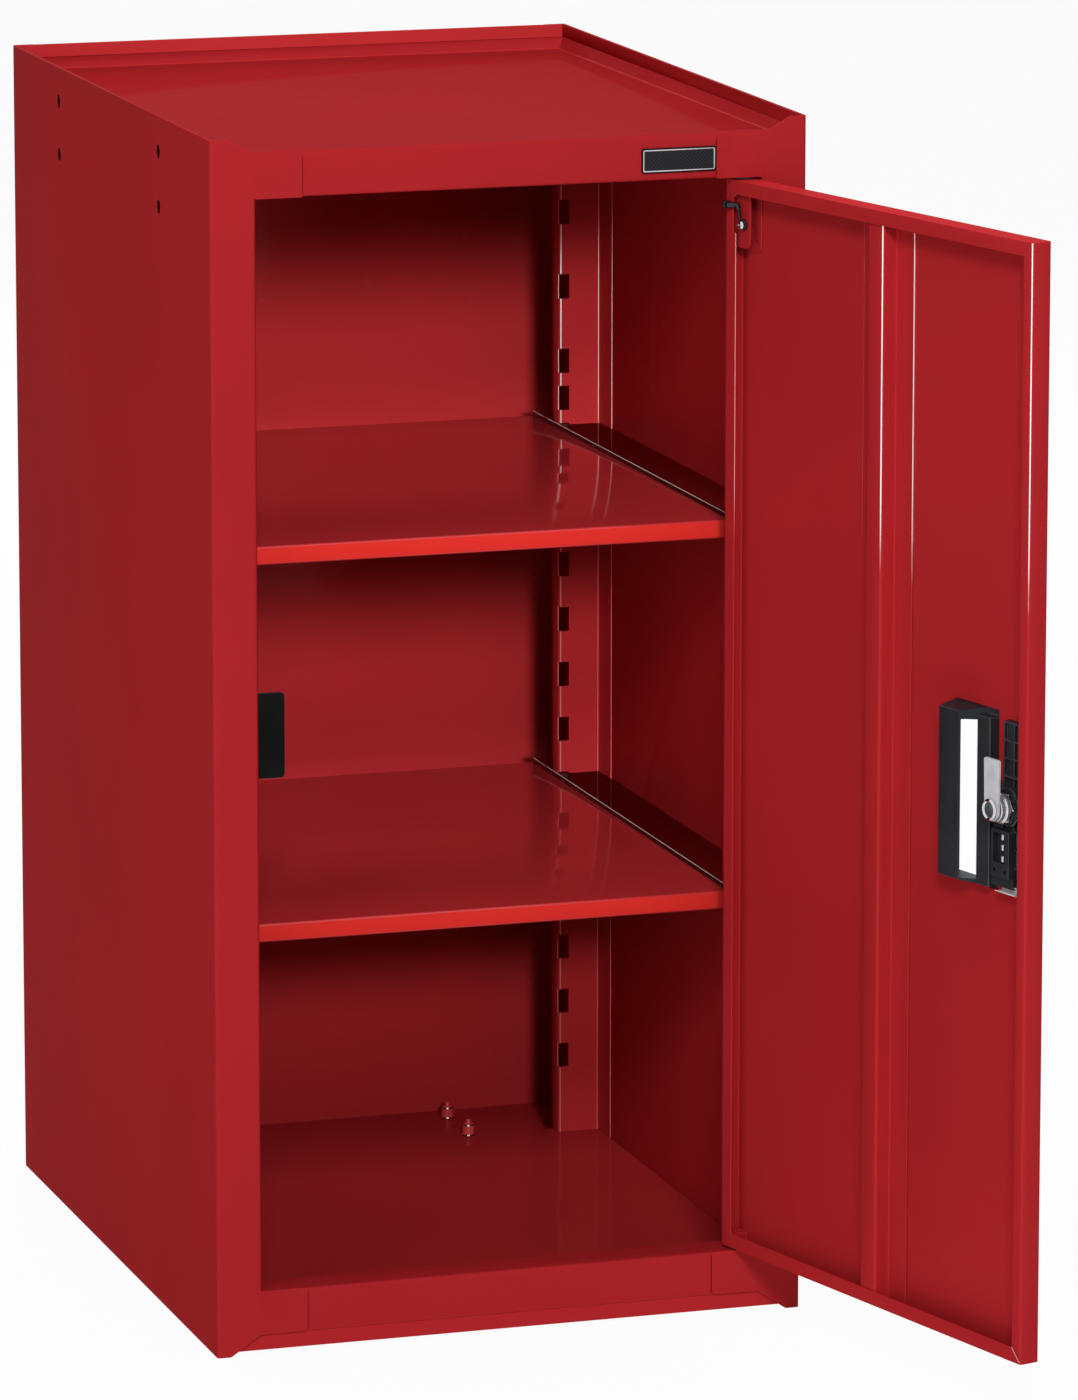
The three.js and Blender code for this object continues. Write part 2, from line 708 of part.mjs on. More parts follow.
// Door pan: skin, four walls and hems around the inner side, with openings for the handle
const fromFree = (distance) => DOOR_WIDTH - distance;
const handleZ = (from, to) => [HANDLE_CENTRE + from, HANDLE_CENTRE + to];
const panSection = rounded(doorOutline([
  [0, 0],
  [DOOR_WIDTH, 0],
  [DOOR_WIDTH, DOOR_THICKNESS],
  [0, DOOR_THICKNESS],
]).map((corner) => [...corner, BEND]));
const throughSkin = [SKIN - SHEET, DOOR_THICKNESS + SHEET];
place(door, 'door_panel', 'paint', cut(
  prism('z', panSection, DOOR_BOTTOM, DOOR_TOP),
  doorBlock([SHEET, DOOR_WIDTH - SHEET], [SHEET, SKIN], [DOOR_BOTTOM + SHEET, DOOR_TOP - SHEET]),
  doorBlock(
    [DOOR_HINGE_HEM, DOOR_WIDTH - DOOR_HEM],
    [-SHEET, 2 * SHEET],
    [DOOR_BOTTOM + DOOR_HEM, DOOR_TOP - DOOR_HEM],
  ),
  doorBlock(
    [NOTCH_INSET, DOOR_HINGE_HEM + SHEET],
    [-SHEET, 2 * SHEET],
    [DOOR_TOP - NOTCH_BOTTOM, DOOR_TOP - NOTCH_TOP],
  ),
  doorBlock(
    [fromFree(POCKET_START) - PLAY, fromFree(COLUMN_END) + PLAY],
    throughSkin,
    handleZ(-POCKET_BASE_HALF - PLAY, POCKET_BASE_HALF + PLAY),
  ),
  doorBlock(
    [fromFree(PLATE_START) - PLAY, fromFree(PLATE_END) + PLAY],
    throughSkin,
    handleZ(PLATE_BOTTOM - PLAY, PLATE_TOP + PLAY),
  ),
  rod('z', [0, 0], PIN_RADIUS + PLAY, DOOR_BOTTOM - SHEET, DOOR_BOTTOM + 2 * SHEET),
  rod('z', [0, 0], PIN_RADIUS + PLAY, DOOR_TOP - 2 * SHEET, DOOR_TOP + SHEET),
));

// Stiffener: a hat section from end to end of the pan
const hatStart = (DOOR_WIDTH - HAT_FACE) / 2 - HAT_OFFSET;
const hatEnd = hatStart + HAT_FACE;
const hatLow = ON_SKIN - SHEET;
const hatHigh = SHEET + PLAY;
const hatPath = [
  [hatStart - HAT_FLANGE, hatLow],
  [hatStart, hatLow],
  [hatStart, hatHigh],
  [hatEnd, hatHigh],
  [hatEnd, hatLow],
  [hatEnd + HAT_FLANGE, hatLow],
];
place(door, 'door_stiffener', 'paint', prism(
  'z',
  doorOutline(folded(hatPath)),
  DOOR_BOTTOM + SHEET + PLAY,
  DOOR_TOP - SHEET - PLAY,
));

// Hinge pins
place(door, 'upper_hinge_pin', 'steel', rod('z', [0, 0], PIN_RADIUS, DOOR_TOP - PIN_INSIDE, OPENING_TOP + PIN_OUTSIDE));
place(door, 'lower_hinge_pin', 'steel', rod(
  'z',
  [0, 0],
  PIN_RADIUS,
  BOTTOM_RAIL - PIN_OUTSIDE,
  DOOR_BOTTOM + LOWER_BLOCK_HEIGHT,
));
const pinBore = (from, to) => rod('z', [0, 0], PIN_RADIUS + PLAY, from, to);
const lowerSeat = DOOR_BOTTOM + SHEET + PLAY;
const channel = [SHEET + PLAY, ON_SKIN];
place(door, 'lower_hinge_block', 'steel', cut(
  doorBlock([SHEET + PLAY, LOWER_BLOCK_WIDTH], channel, [lowerSeat, lowerSeat + LOWER_BLOCK_HEIGHT]),
  pinBore(lowerSeat - SHEET, lowerSeat + LOWER_BLOCK_HEIGHT + SHEET),
));

// Upper bracket: a channel around the pin, open towards the middle of the door
const bracketTop = DOOR_TOP - SHEET - PLAY;
const bracketBottom = DOOR_TOP - BRACKET_DROP;
const bracketEdge = SHEET + PLAY;
const tongueLevel = [BRACKET_LEVEL, BRACKET_LEVEL + BRACKET_SHEET];
const footLevel = [ON_SKIN - BRACKET_SHEET, ON_SKIN];
const eyeLevel = DOOR_TOP - EYE_DROP;
function bracketLeaf(reach, bottom, levels) {
  const outline = rounded([
    [bracketEdge, bottom],
    [reach, bottom, BRACKET_CORNER],
    [reach, bracketTop],
    [bracketEdge, bracketTop],
  ]);
  return doorPlate(outline, ...levels);
}
const pinBlock = [DOOR_TOP - PIN_INSIDE, bracketTop];
place(door, 'upper_hinge_bracket', 'paint', cut(
  join(
    bracketLeaf(BRACKET_REACH, bracketBottom, tongueLevel),
    bracketLeaf(BRACKET_REACH + BRACKET_FOOT, bracketBottom - BRACKET_FOOT_DROP, footLevel),
    doorBlock([bracketEdge, bracketEdge + BRACKET_SHEET], [BRACKET_LEVEL, ON_SKIN], [bracketBottom, bracketTop]),
    doorBlock([bracketEdge, BRACKET_BLOCK], [BRACKET_LEVEL, ON_SKIN], pinBlock),
  ),
  pinBore(pinBlock[0] - SHEET, bracketTop + SHEET),
  doorRod(EYE_INSET, eyeLevel, SCREW_RADIUS + PLAY, BRACKET_LEVEL - SHEET, BRACKET_LEVEL + 2 * BRACKET_SHEET),
  doorRod(BRACKET_HOLE_INSET, DOOR_TOP - BRACKET_HOLE_DROP, BRACKET_HOLE, footLevel[0] - SHEET, SKIN),
));

// Wire clip: a bent wire in front of the hem, ending in an eye that a screw holds on the bracket
const wireLevel = -PLAY - WIRE_RADIUS;
const wireHeight = DOOR_TOP - WIRE_DROP;
const eyeFace = [BRACKET_LEVEL - PLAY - EYE_THICKNESS, BRACKET_LEVEL - PLAY];
const wirePoint = (s, d, z) => [...onDoor(s, d), z];
const wireEnd = wirePoint(WIRE_START, wireLevel, wireHeight);
const wireBend = wirePoint(EYE_INSET, wireLevel, wireHeight);
const wireFoot = wirePoint(EYE_INSET, (eyeFace[0] + eyeFace[1]) / 2, eyeLevel + EYE_RADIUS / 2);
const eyeHole = doorRod(EYE_INSET, eyeLevel, SCREW_RADIUS + PLAY, eyeFace[0] - SHEET, eyeFace[1] + SHEET);
const headRoom = doorRod(EYE_INSET, eyeLevel, SCREW_HEAD + PLAY, eyeFace[0] - 2 * SCREW_HEAD_HEIGHT, eyeFace[0]);
const underEye = doorBlock(
  [EYE_INSET - EYE_RADIUS, EYE_INSET + EYE_RADIUS],
  [eyeFace[1], BRACKET_LEVEL + BRACKET_SHEET],
  [eyeLevel, wireHeight],
);
place(door, 'upper_pin_clip', 'black', cut(
  join(
    bar(wireEnd, wireBend, WIRE_RADIUS, ROUND_SIDES / 2),
    ball(wireBend, WIRE_RADIUS),
    bar(wireBend, wireFoot, WIRE_RADIUS, ROUND_SIDES / 2),
    doorRod(EYE_INSET, eyeLevel, EYE_RADIUS, ...eyeFace),
  ),
  eyeHole,
  headRoom,
  underEye,
));
const screwSeat = eyeFace[0] - PLAY;
place(door, 'upper_clip_screw', 'steel', join(
  doorRod(EYE_INSET, eyeLevel, SCREW_HEAD, screwSeat - SCREW_HEAD_HEIGHT, screwSeat),
  doorRod(EYE_INSET, eyeLevel, SCREW_RADIUS, screwSeat - SCREW_HEAD_HEIGHT / 2, tongueLevel[1]),
));

// Handle housing: bezel outside, finger pocket, column, and a ribbed back plate around the lock
const bezelOutline = rounded([
  [fromFree(POCKET_START) - BEZEL_LIP, HANDLE_CENTRE - POCKET_BASE_HALF - BEZEL_LIP, BEZEL_CORNER],
  [fromFree(PLATE_END) + BEZEL_LIP, HANDLE_CENTRE - POCKET_BASE_HALF - BEZEL_LIP, BEZEL_CORNER],
  [fromFree(PLATE_END) + BEZEL_LIP, HANDLE_CENTRE + POCKET_BASE_HALF + BEZEL_LIP, BEZEL_CORNER],
  [fromFree(POCKET_START) - BEZEL_LIP, HANDLE_CENTRE + POCKET_BASE_HALF + BEZEL_LIP, BEZEL_CORNER],
]);
// Corners of a section of the pocket at depth d, counter-clockwise seen from inside the locker
function pocketLevel(d, start, end, bottom, top) {
  return [[start, bottom], [end, bottom], [end, top], [start, top]].map(([s, z]) => {
    const [x, y] = onDoor(fromFree(s), d);
    return [x, y, HANDLE_CENTRE + z];
  });
}
const pocketShell = hexahedron(
  pocketLevel(BEZEL_LEVEL + FIT, POCKET_START, POCKET_BASE_END, -POCKET_BASE_HALF, POCKET_BASE_HALF),
  pocketLevel(POCKET_LEVEL, POCKET_FACE_START, POCKET_FACE_END, -POCKET_FACE_HALF, POCKET_FACE_HALF),
);
const pocketHollow = doorBlock(
  [fromFree(POCKET_FACE_START - POCKET_WALL), fromFree(COLUMN_START)],
  [POCKET_LEVEL + POCKET_WALL, BEZEL_LEVEL + 2 * BEZEL_THICKNESS],
  handleZ(POCKET_BOTTOM, POCKET_TOP),
);
const plateSpan = [fromFree(PLATE_START), fromFree(PLATE_END)];
const plateHeight = handleZ(PLATE_BOTTOM, PLATE_TOP);
const ribDepth = [RIB_LEVEL, PLATE_LEVEL + FIT];
const ribs = Array.from({ length: RIB_COUNT }, (_, i) => {
  const top = HANDLE_CENTRE + PLATE_TOP - (i + 1) * RIB_PITCH;
  return doorBlock(plateSpan, ribDepth, [top - RIB_THICKNESS, top]);
});
const ribRows = [
  doorBlock(plateSpan, ribDepth, handleZ(PLATE_TOP - RIB_THICKNESS, PLATE_TOP)),
  doorBlock(plateSpan, ribDepth, handleZ(PLATE_BOTTOM, PLATE_BOTTOM + RIB_THICKNESS)),
];
const ribColumns = [fromFree(PLATE_START), fromFree(RIB_COLUMN), fromFree(PLATE_END) - RIB_THICKNESS].map(
  (start) => doorBlock([start, start + RIB_THICKNESS], ribDepth, plateHeight),
);
const overSkin = ON_SKIN - FIT;
place(door, 'handle_housing', 'black', cut(
  join(
    cut(
      join(
        pocketShell,
        doorPlate(bezelOutline, BEZEL_LEVEL, BEZEL_LEVEL + BEZEL_THICKNESS),
      ),
      pocketHollow,
    ),
    doorBlock(
      [fromFree(COLUMN_START), fromFree(COLUMN_END)],
      [COLUMN_LEVEL, BEZEL_LEVEL + FIT],
      handleZ(COLUMN_BOTTOM, COLUMN_TOP),
    ),
    doorBlock(plateSpan, [PLATE_LEVEL, BEZEL_LEVEL + FIT], plateHeight),
    ...ribs,
    ...ribRows,
    ...ribColumns,
    doorBlock([fromFree(BLOCK_START), fromFree(BLOCK_END)], [BLOCK_LEVEL, overSkin], handleZ(BLOCK_BOTTOM, BLOCK_TOP)),
    doorRod(LOCK_S, HANDLE_CENTRE, BOSS_RADIUS, BLOCK_LEVEL, overSkin),
  ),
  doorRod(LOCK_S, HANDLE_CENTRE, LOCK_RADIUS + PLAY, 0, BEZEL_LEVEL + 2 * BEZEL_THICKNESS),
));

// Lock cylinder with its head outside and a nut inside
const headSeat = BEZEL_LEVEL + BEZEL_THICKNESS + PLAY;
const headFace = headSeat + LOCK_HEAD_HEIGHT;
place(door, 'lock_cylinder', 'steel', cut(
  join(
    doorRod(LOCK_S, HANDLE_CENTRE, LOCK_RADIUS, -LOCK_RAISE, headFace),
    doorRod(LOCK_S, HANDLE_CENTRE, LOCK_HEAD, headSeat, headFace),
  ),
  doorRod(LOCK_S, HANDLE_CENTRE, PLUG_RADIUS + PLAY, -LOCK_RAISE - SHEET, headFace + SHEET),
));
const nutSeat = BLOCK_LEVEL - PLAY;
place(door, 'lock_nut', 'steel', cut(
  doorRod(LOCK_S, HANDLE_CENTRE, LOCK_NUT, nutSeat - LOCK_NUT_HEIGHT, nutSeat, 6),
  doorRod(LOCK_S, HANDLE_CENTRE, LOCK_RADIUS + PLAY, nutSeat - 2 * LOCK_NUT_HEIGHT, nutSeat + SHEET),
));

// Plug with its keyway, cam and cam nut turn together
const camFace = [CAM_LEVEL - CAM_THICKNESS, CAM_LEVEL];
const camNut = [camFace[0] - PLAY - CAM_NUT_HEIGHT, camFace[0] - PLAY];
const [keyWidth, keyHeight, keyDepth] = KEYWAY;
place(door, 'lock_plug', 'steel', cut(
  join(
    doorRod(LOCK_S, HANDLE_CENTRE, PLUG_RADIUS, -LOCK_RAISE, headFace - PLAY),
    doorRod(LOCK_S, HANDLE_CENTRE, PIN_RADIUS, camNut[0] - PLAY, 0),
  ),
  doorBlock(
    [LOCK_S - keyWidth / 2, LOCK_S + keyWidth / 2],
    [headFace - keyDepth, headFace + SHEET],
    [HANDLE_CENTRE - keyHeight / 2, HANDLE_CENTRE + keyHeight / 2],
  ),
));
const camTip = HANDLE_CENTRE + CAM_LENGTH;
const camBar = rounded([
  [LOCK_S - CAM_HALF_WIDTH, HANDLE_CENTRE],
  [LOCK_S + CAM_HALF_WIDTH, HANDLE_CENTRE],
  [LOCK_S + CAM_HALF_WIDTH, camTip, CAM_HALF_WIDTH / 4],
  [LOCK_S - CAM_HALF_WIDTH, camTip, CAM_HALF_WIDTH / 4],
]);
const stubHole = doorRod(LOCK_S, HANDLE_CENTRE, PIN_RADIUS + PLAY, camNut[0] - SHEET, CAM_LEVEL + SHEET);
place(door, 'lock_cam', 'steel', cut(
  join(doorPlate(camBar, ...camFace), doorRod(LOCK_S, HANDLE_CENTRE, CAM_HALF_WIDTH, ...camFace)),
  stubHole,
));
place(door, 'cam_nut', 'steel', cut(doorRod(LOCK_S, HANDLE_CENTRE, CAM_NUT, ...camNut, 6), stubHole));

// Bent spring clip under the ribbed plate
const clipTop = HANDLE_CENTRE + PLATE_BOTTOM - PLAY;
const clipLow = clipTop - CLIP_DROP - CLIP_STRIP;
const clipSpan = [fromFree(CLIP_FROM_EDGE) - CLIP_HALF_WIDTH, fromFree(CLIP_FROM_EDGE) + CLIP_HALF_WIDTH];
place(door, 'handle_spring_clip', 'steel', join(
  doorBlock(clipSpan, [ON_SKIN - CLIP_STRIP, ON_SKIN], [clipLow, clipTop]),
  doorBlock(clipSpan, [ON_SKIN - CLIP_LEAF, ON_SKIN], [clipTop - CLIP_STRIP, clipTop]),
  doorBlock(clipSpan, [ON_SKIN - CLIP_LONG_LEAF, ON_SKIN], [clipLow, clipLow + CLIP_STRIP]),
));

export default part;
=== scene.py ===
import json
import math

import bmesh
import bpy
from mathutils import Matrix, Vector

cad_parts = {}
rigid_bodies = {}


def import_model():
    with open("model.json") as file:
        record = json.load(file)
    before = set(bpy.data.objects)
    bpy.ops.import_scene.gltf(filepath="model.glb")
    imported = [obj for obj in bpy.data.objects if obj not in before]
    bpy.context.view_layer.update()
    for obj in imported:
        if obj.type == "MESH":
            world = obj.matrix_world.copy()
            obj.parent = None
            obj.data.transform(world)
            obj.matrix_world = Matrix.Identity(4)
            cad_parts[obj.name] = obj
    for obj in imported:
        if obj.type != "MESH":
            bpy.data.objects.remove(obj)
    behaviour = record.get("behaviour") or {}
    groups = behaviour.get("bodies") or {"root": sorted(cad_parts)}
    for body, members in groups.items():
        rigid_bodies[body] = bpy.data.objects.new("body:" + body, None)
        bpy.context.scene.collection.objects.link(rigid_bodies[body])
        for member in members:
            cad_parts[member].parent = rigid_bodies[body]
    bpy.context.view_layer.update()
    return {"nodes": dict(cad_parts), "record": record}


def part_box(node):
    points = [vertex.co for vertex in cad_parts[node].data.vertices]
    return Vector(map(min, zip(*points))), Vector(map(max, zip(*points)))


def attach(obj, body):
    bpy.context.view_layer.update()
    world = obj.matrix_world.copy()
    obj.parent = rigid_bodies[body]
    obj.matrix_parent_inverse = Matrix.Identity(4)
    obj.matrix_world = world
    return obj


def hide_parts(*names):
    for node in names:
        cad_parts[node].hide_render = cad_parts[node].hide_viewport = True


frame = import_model()
RECORD = frame["record"]
BODIES = RECORD["behaviour"]["bodies"]
JOINTS = {joint["name"]: joint for joint in RECORD["behaviour"]["joints"]}
SLOTS = {part["node"]: part["material_slot"] for part in RECORD["subparts"]}
SCENE = bpy.context.scene
SCENE.view_settings.view_transform = "Standard"

# Sizes of the solids that the looks follow, in millimetres
MM = 0.001
TAB_END = 58.5
TAB_CORNER = 3
TAB_BOTTOM = 13
BOTTOM_RAIL = 40.7
OPENING_TOP = 728
TAB_TOP = 755
SHEET = 1
SHEET_GAP = 0.2
DOOR_INSET = 8
DOOR_WIDTH = 322.5
DOOR_HEM = 9
DOOR_BOTTOM = 42.5
HANDLE_Z = 381
BLOCK_LEVEL = 6
RIB_LEVEL = 10
EYE_S = 16.4
EYE_Z = 698.6
WIRE_Z = 711.6
HANG_RADIUS = 4.5
HANGING_HOLES = [(y, z) for y in (-355.6, -109.0) for z in (742.5, 708)]


# Materials

class Tone:
    """A value in a material. Arithmetic on it adds Math nodes."""

    def __init__(self, tree, socket):
        self.tree = tree
        self.socket = socket

    def math(self, operation, *values):
        node = self.tree.nodes.new("ShaderNodeMath")
        node.operation = operation
        for slot, value in zip(node.inputs, values):
            connect(self.tree, slot, value)
        return Tone(self.tree, node.outputs[0])

    def __add__(self, other):
        return self.math("ADD", self, other)

    def __radd__(self, other):
        return self.math("ADD", other, self)

    def __sub__(self, other):
        return self.math("SUBTRACT", self, other)

    def __rsub__(self, other):
        return self.math("SUBTRACT", other, self)

    def __mul__(self, other):
        return self.math("MULTIPLY", self, other)

    def __rmul__(self, other):
        return self.math("MULTIPLY", other, self)

    def most(self, other):
        return self.math("MAXIMUM", self, other)


def connect(tree, slot, value):
    if isinstance(value, Tone):
        tree.links.new(value.socket, slot)
    else:
        slot.default_value = value


class Finish:
    """The node tree of a finish, or of the studio's world, while it is made."""

    def __init__(self, owner):
        owner.use_nodes = True
        self.owner = owner
        self.tree = owner.node_tree
        self.tree.nodes.clear()

    def node(self, kind, settings=None, **sockets):
        """Adds a node, sets it up and fills its sockets. Returns the outputs by name.

        A socket is named with _ for a space, or by its number after an n.
        """
        made = self.tree.nodes.new("ShaderNode" + kind)
        for name, value in (settings or {}).items():
            setattr(made, name, value)
        for name, value in sockets.items():
            if name[1:].isdigit():
                slot = made.inputs[int(name[1:])]
            else:
                slot = next(s for s in made.inputs if s.name.replace(" ", "_") == name and s.enabled)
            connect(self.tree, slot, value)
        return {s.name: Tone(self.tree, s) for s in made.outputs if s.enabled}

    def place(self):
        return self.node("TexCoord")["Object"]

    def noise(self, at, scale, detail, rough=0.5):
        return self.node("TexNoise", None, Vector=at, Scale=scale, Detail=detail, Roughness=rough)["Fac"]

    def above(self, value, edge, blur):
        """0 below the edge, 1 above it, with a soft step between."""
        sockets = {"Value": value, "From_Min": edge - blur, "From_Max": edge + blur}
        return self.node("MapRange", {"interpolation_type": "SMOOTHSTEP"}, **sockets)["Result"]

    def blend(self, share, first, second):
        """A mix of two colours."""
        return self.node("Mix", {"data_type": "RGBA"}, Factor=share, A=first, B=second)["Result"]

    def bump(self, height, strength, distance):
        return self.node("Bump", None, Height=height, Strength=strength, Distance=distance)["Normal"]

    def coated(self, **sockets):
        return self.surface(self.node("BsdfPrincipled", None, **sockets)["BSDF"])

    def surface(self, shader):
        kind = "OutputWorld" if isinstance(self.owner, bpy.types.World) else "OutputMaterial"
        self.node(kind, None, Surface=shader)
        return self.owner


def shade(value):
    """A colour written as the sRGB hex that a render should show, as linear values."""
    parts = [int(value[i:i + 2], 16) / 255 for i in (0, 2, 4)]
    linear = [p / 12.92 if p <= 0.04045 else ((p + 0.055) / 1.055) ** 2.4 for p in parts]
    return (*linear, 1.0)


def enamel(name, colour, deep, gloss, polish, coat=0.02, coat_ior=1.5):
    """Baked red enamel: slow clouding, fine orange peel, and reflections that keep the red of the paint."""
    made = Finish(bpy.data.materials.new(name))
    at = made.place()
    cloud = made.noise(at, 5.0, 3.0)
    wave = made.noise(at, 60.0, 2.0)
    peel = made.noise(at, 520.0, 2.0, 0.45)
    speck = made.noise(at, 1900.0, 1.0)
    return made.coated(
        Base_Color=made.blend(made.above(cloud, 0.5, 0.28), shade(deep), shade(colour)),
        Metallic=polish,
        Roughness=gloss + (wave - 0.5) * 0.06,
        Specular_IOR_Level=0.0,
        Specular_Tint=(1.0, 0.07, 0.08, 1.0),
        Coat_Weight=coat,
        Coat_IOR=coat_ior,
        Coat_Roughness=0.06,
        Normal=made.bump(peel * 0.7 + wave * 0.3 + speck * 0.12, 0.045, 0.0006),
    )


def highlighted_fold(name, colour, bright_part, low, high, elsewhere):
    """Enamel on a fold with a painted highlight: pale, steel-like colour between two levels and less so
    elsewhere, in place of a lamp's reflection.
    """
    made = Finish(bpy.data.materials.new(name))
    at = made.place()
    height = made.node("SeparateXYZ", None, Vector=at)["Z"]
    patch = made.noise(at, 40.0, 3.0)
    fleck = made.noise(at, 900.0, 2.0)
    ragged = height + (patch - 0.5) * 0.05
    between = made.above(ragged, low, 0.03) - made.above(ragged, high, 0.03)
    # The painted highlight's share: full between the two levels, ragged at its ends, and the elsewhere
    # share outside them
    wear_and_highlight = between * (1 - elsewhere) + elsewhere
    return made.coated(
        Base_Color=made.blend(wear_and_highlight, shade(colour), shade(bright_part)),
        Metallic=wear_and_highlight * 0.45 + 0.12,
        Roughness=0.3 - wear_and_highlight * 0.05 + (fleck - 0.5) * 0.06,
        Specular_IOR_Level=0.0,
        Normal=made.bump(fleck, 0.05, 0.0004),
    )


def moulding(name, colour, wear_and_highlight, rough, shine):
    """Moulded plastic: fine spark texture, a little paler in clouds where hands rub it."""
    made = Finish(bpy.data.materials.new(name))
    at = made.place()
    grain = made.noise(at, 2600.0, 2.0, 0.6)
    cloud = made.noise(at, 45.0, 3.0)
    return made.coated(
        Base_Color=made.blend(made.above(cloud, 0.52, 0.2), shade(colour), shade(wear_and_highlight)),
        Roughness=rough + (grain - 0.5) * 0.16,
        Specular_IOR_Level=shine,
        Normal=made.bump(grain, 0.22, 0.0002),
    )


def hatched(name, colour, wear_and_highlight):
    """The badge's blank field: crossed fine lines in black print."""
    made = Finish(bpy.data.materials.new(name))
    at = made.place()
    mirrored = made.node("Mapping", None, Vector=at, Scale=(-1.0, 1.0, 1.0))["Vector"]
    lines = [
        made.node("TexWave", {"bands_direction": "DIAGONAL"}, Vector=side, Scale=260.0)["Fac"]
        for side in (at, mirrored)
    ]
    weave = lines[0] * lines[1]
    return made.coated(
        Base_Color=made.blend(made.above(weave, 0.4, 0.3), shade(colour), shade(wear_and_highlight)),
        Roughness=0.42 - weave * 0.1,
        Specular_IOR_Level=0.2,
        Normal=made.bump(weave, 0.3, 0.0002),
    )


def bare_metal(name, colour, dull, rough, brush=(900.0, 900.0, 40.0), mirror=1.0):
    """Plated steel: drawn lines along the piece and faint cloudy stains. A blasted face mirrors little."""
    made = Finish(bpy.data.materials.new(name))
    at = made.place()
    lines = made.node("Mapping", None, Vector=at, Scale=brush)["Vector"]
    drawn = made.noise(lines, 1.0, 3.0, 0.6)
    stain = made.noise(at, 120.0, 3.0)
    return made.coated(
        Base_Color=made.blend(made.above(stain, 0.5, 0.25), shade(colour), shade(dull)),
        Metallic=mirror,
        Roughness=rough + (drawn - 0.5) * 0.14,
        Normal=made.bump(drawn, 0.08, 0.0002),
    )


PAINT = enamel("red_enamel", "a92529", "a12227", 0.32, 0.15)
DOOR_PAINT = enamel("red_enamel_door", "af272b", "a72429", 0.32, 0.15)
# Eased edges of red pieces: a lighter red that is a painted highlight, under a thin real coat
CREST_HIGHLIGHT_PAINT = enamel("red_enamel_crests", "b92b2d", "af282b", 0.26, 0.15, 0.1)
# Painted highlights on folds: on the door's upright folds above a level, on the uprights' folds in one band
# and faintly elsewhere
DOOR_FOLD_HIGHLIGHT = highlighted_fold("red_enamel_door_folds", "b02a2d", "fff8f4", 0.525, 1.0, 0.0)
UPRIGHT_FOLD_HIGHLIGHT = highlighted_fold("red_enamel_upright_folds", "b02a2d", "fff8f4", 0.51, 0.625, 0.13)
INNER_PAINT = enamel("red_enamel_inside", "aa2b2e", "a4272b", 0.26, 0.15, 0.05)
SHELF_PAINT = enamel("red_enamel_shelves", "aa2b2e", "a4272b", 0.3, 0.1, 0.95)
# The shelves' front faces and eased edges: a lighter, more orange copy of the shelf red, painted light
SHELF_FRONT_LIT_PAINT = enamel("red_enamel_shelf_folds", "b32520", "ab221d", 0.3, 0.1, 0.06)
FLOOR_PAINT = enamel("red_enamel_floor", "a8292c", "a0262a", 0.3, 0.1, 0.4)
STUD_LIT_PAINT = enamel("red_enamel_studs", "d0494a", "c64042", 0.2, 0.15, 0.8, 1.8)
SEAM_SHADOW_PAINT = enamel("red_enamel_in_seams", "78171c", "6c1418", 0.4, 0.05)
HOLE_SHADE_PAINT = enamel("red_enamel_in_holes", "1c0708", "140506", 0.5, 0.0, 0.0)
EDGING = moulding("black_shelf_edging", "0c0607", "120a0b", 0.3, 0.25)
PALE_CREST_METAL = bare_metal("bare_shelf_edge", "f4eeec", "d8cfcd", 0.35, (60.0, 60.0, 900.0), 0.3)
BLACK = moulding("black_moulding", "1c1e22", "24262b", 0.46, 0.2)
# A paler black for eased edges and the handle's rib tops: a painted highlight
BLACK_EDGE_HIGHLIGHT = moulding("black_moulding_edges", "2c2e34", "35383e", 0.36, 0.4)
BLACK_STRIKE = moulding("black_strike", "0d0c0d", "131213", 0.34, 0.06)
BLACK_FIELD = hatched("black_badge_print", "121319", "2a2b33")
CHROME = bare_metal("chrome_plate", "d9d9dc", "c9c9cd", 0.12)
SATIN = bare_metal("satin_lever", "cfd0d6", "bfc0c7", 0.5, (700.0, 700.0, 700.0), 0.25)
SPRING = bare_metal("spring_steel", "eeeeee", "dadada", 0.3, (300.0, 300.0, 900.0), 0.35)
STEEL = bare_metal("zinc_plate", "c4c4c0", "adada8", 0.32)
PLUG_STEEL = bare_metal("oiled_plug_steel", "5c6566", "3c4344", 0.3, (900.0, 900.0, 40.0), 0.7)
BARREL = bare_metal("barrel_chrome", "e4e4e6", "cfcfd3", 0.16, (300.0, 300.0, 900.0), 0.8)
WIRE = moulding("black_wire", "101114", "17181b", 0.24, 0.5)
NYLON = moulding("black_nylon", "242427", "2c2c30", 0.55, 0.3)


# Forms in millimetres, as open bmesh work

def axes(origin, right, up, out):
    """Millimetres along three directions from an origin, as a place in the frame."""
    turn = Matrix((right, up, out)).transposed().to_4x4()
    return Matrix.Scale(MM, 4) @ Matrix.Translation(origin) @ turn


def rounded(corners):
    """An outline whose corners, given as x, y and radius, are round."""
    steps = 5
    outline = []
    for i, (x, y, radius) in enumerate(corners):
        here = Vector((x, y))
        before = (Vector(corners[i - 1][:2]) - here).normalized()
        after = (Vector(corners[(i + 1) % len(corners)][:2]) - here).normalized()
        if not radius:
            outline.append(here)
            continue
        half = before.angle(after) / 2
        centre = here + (before + after).normalized() * (radius / math.sin(half))
        first = here + before * (radius / math.tan(half)) - centre
        last = here + after * (radius / math.tan(half)) - centre
        start = math.atan2(first.y, first.x)
        sweep = (math.atan2(last.y, last.x) - start + math.pi) % (2 * math.pi) - math.pi
        for k in range(steps + 1):
            angle = start + sweep * k / steps
            outline.append(centre + radius * Vector((math.cos(angle), math.sin(angle))))
    return outline


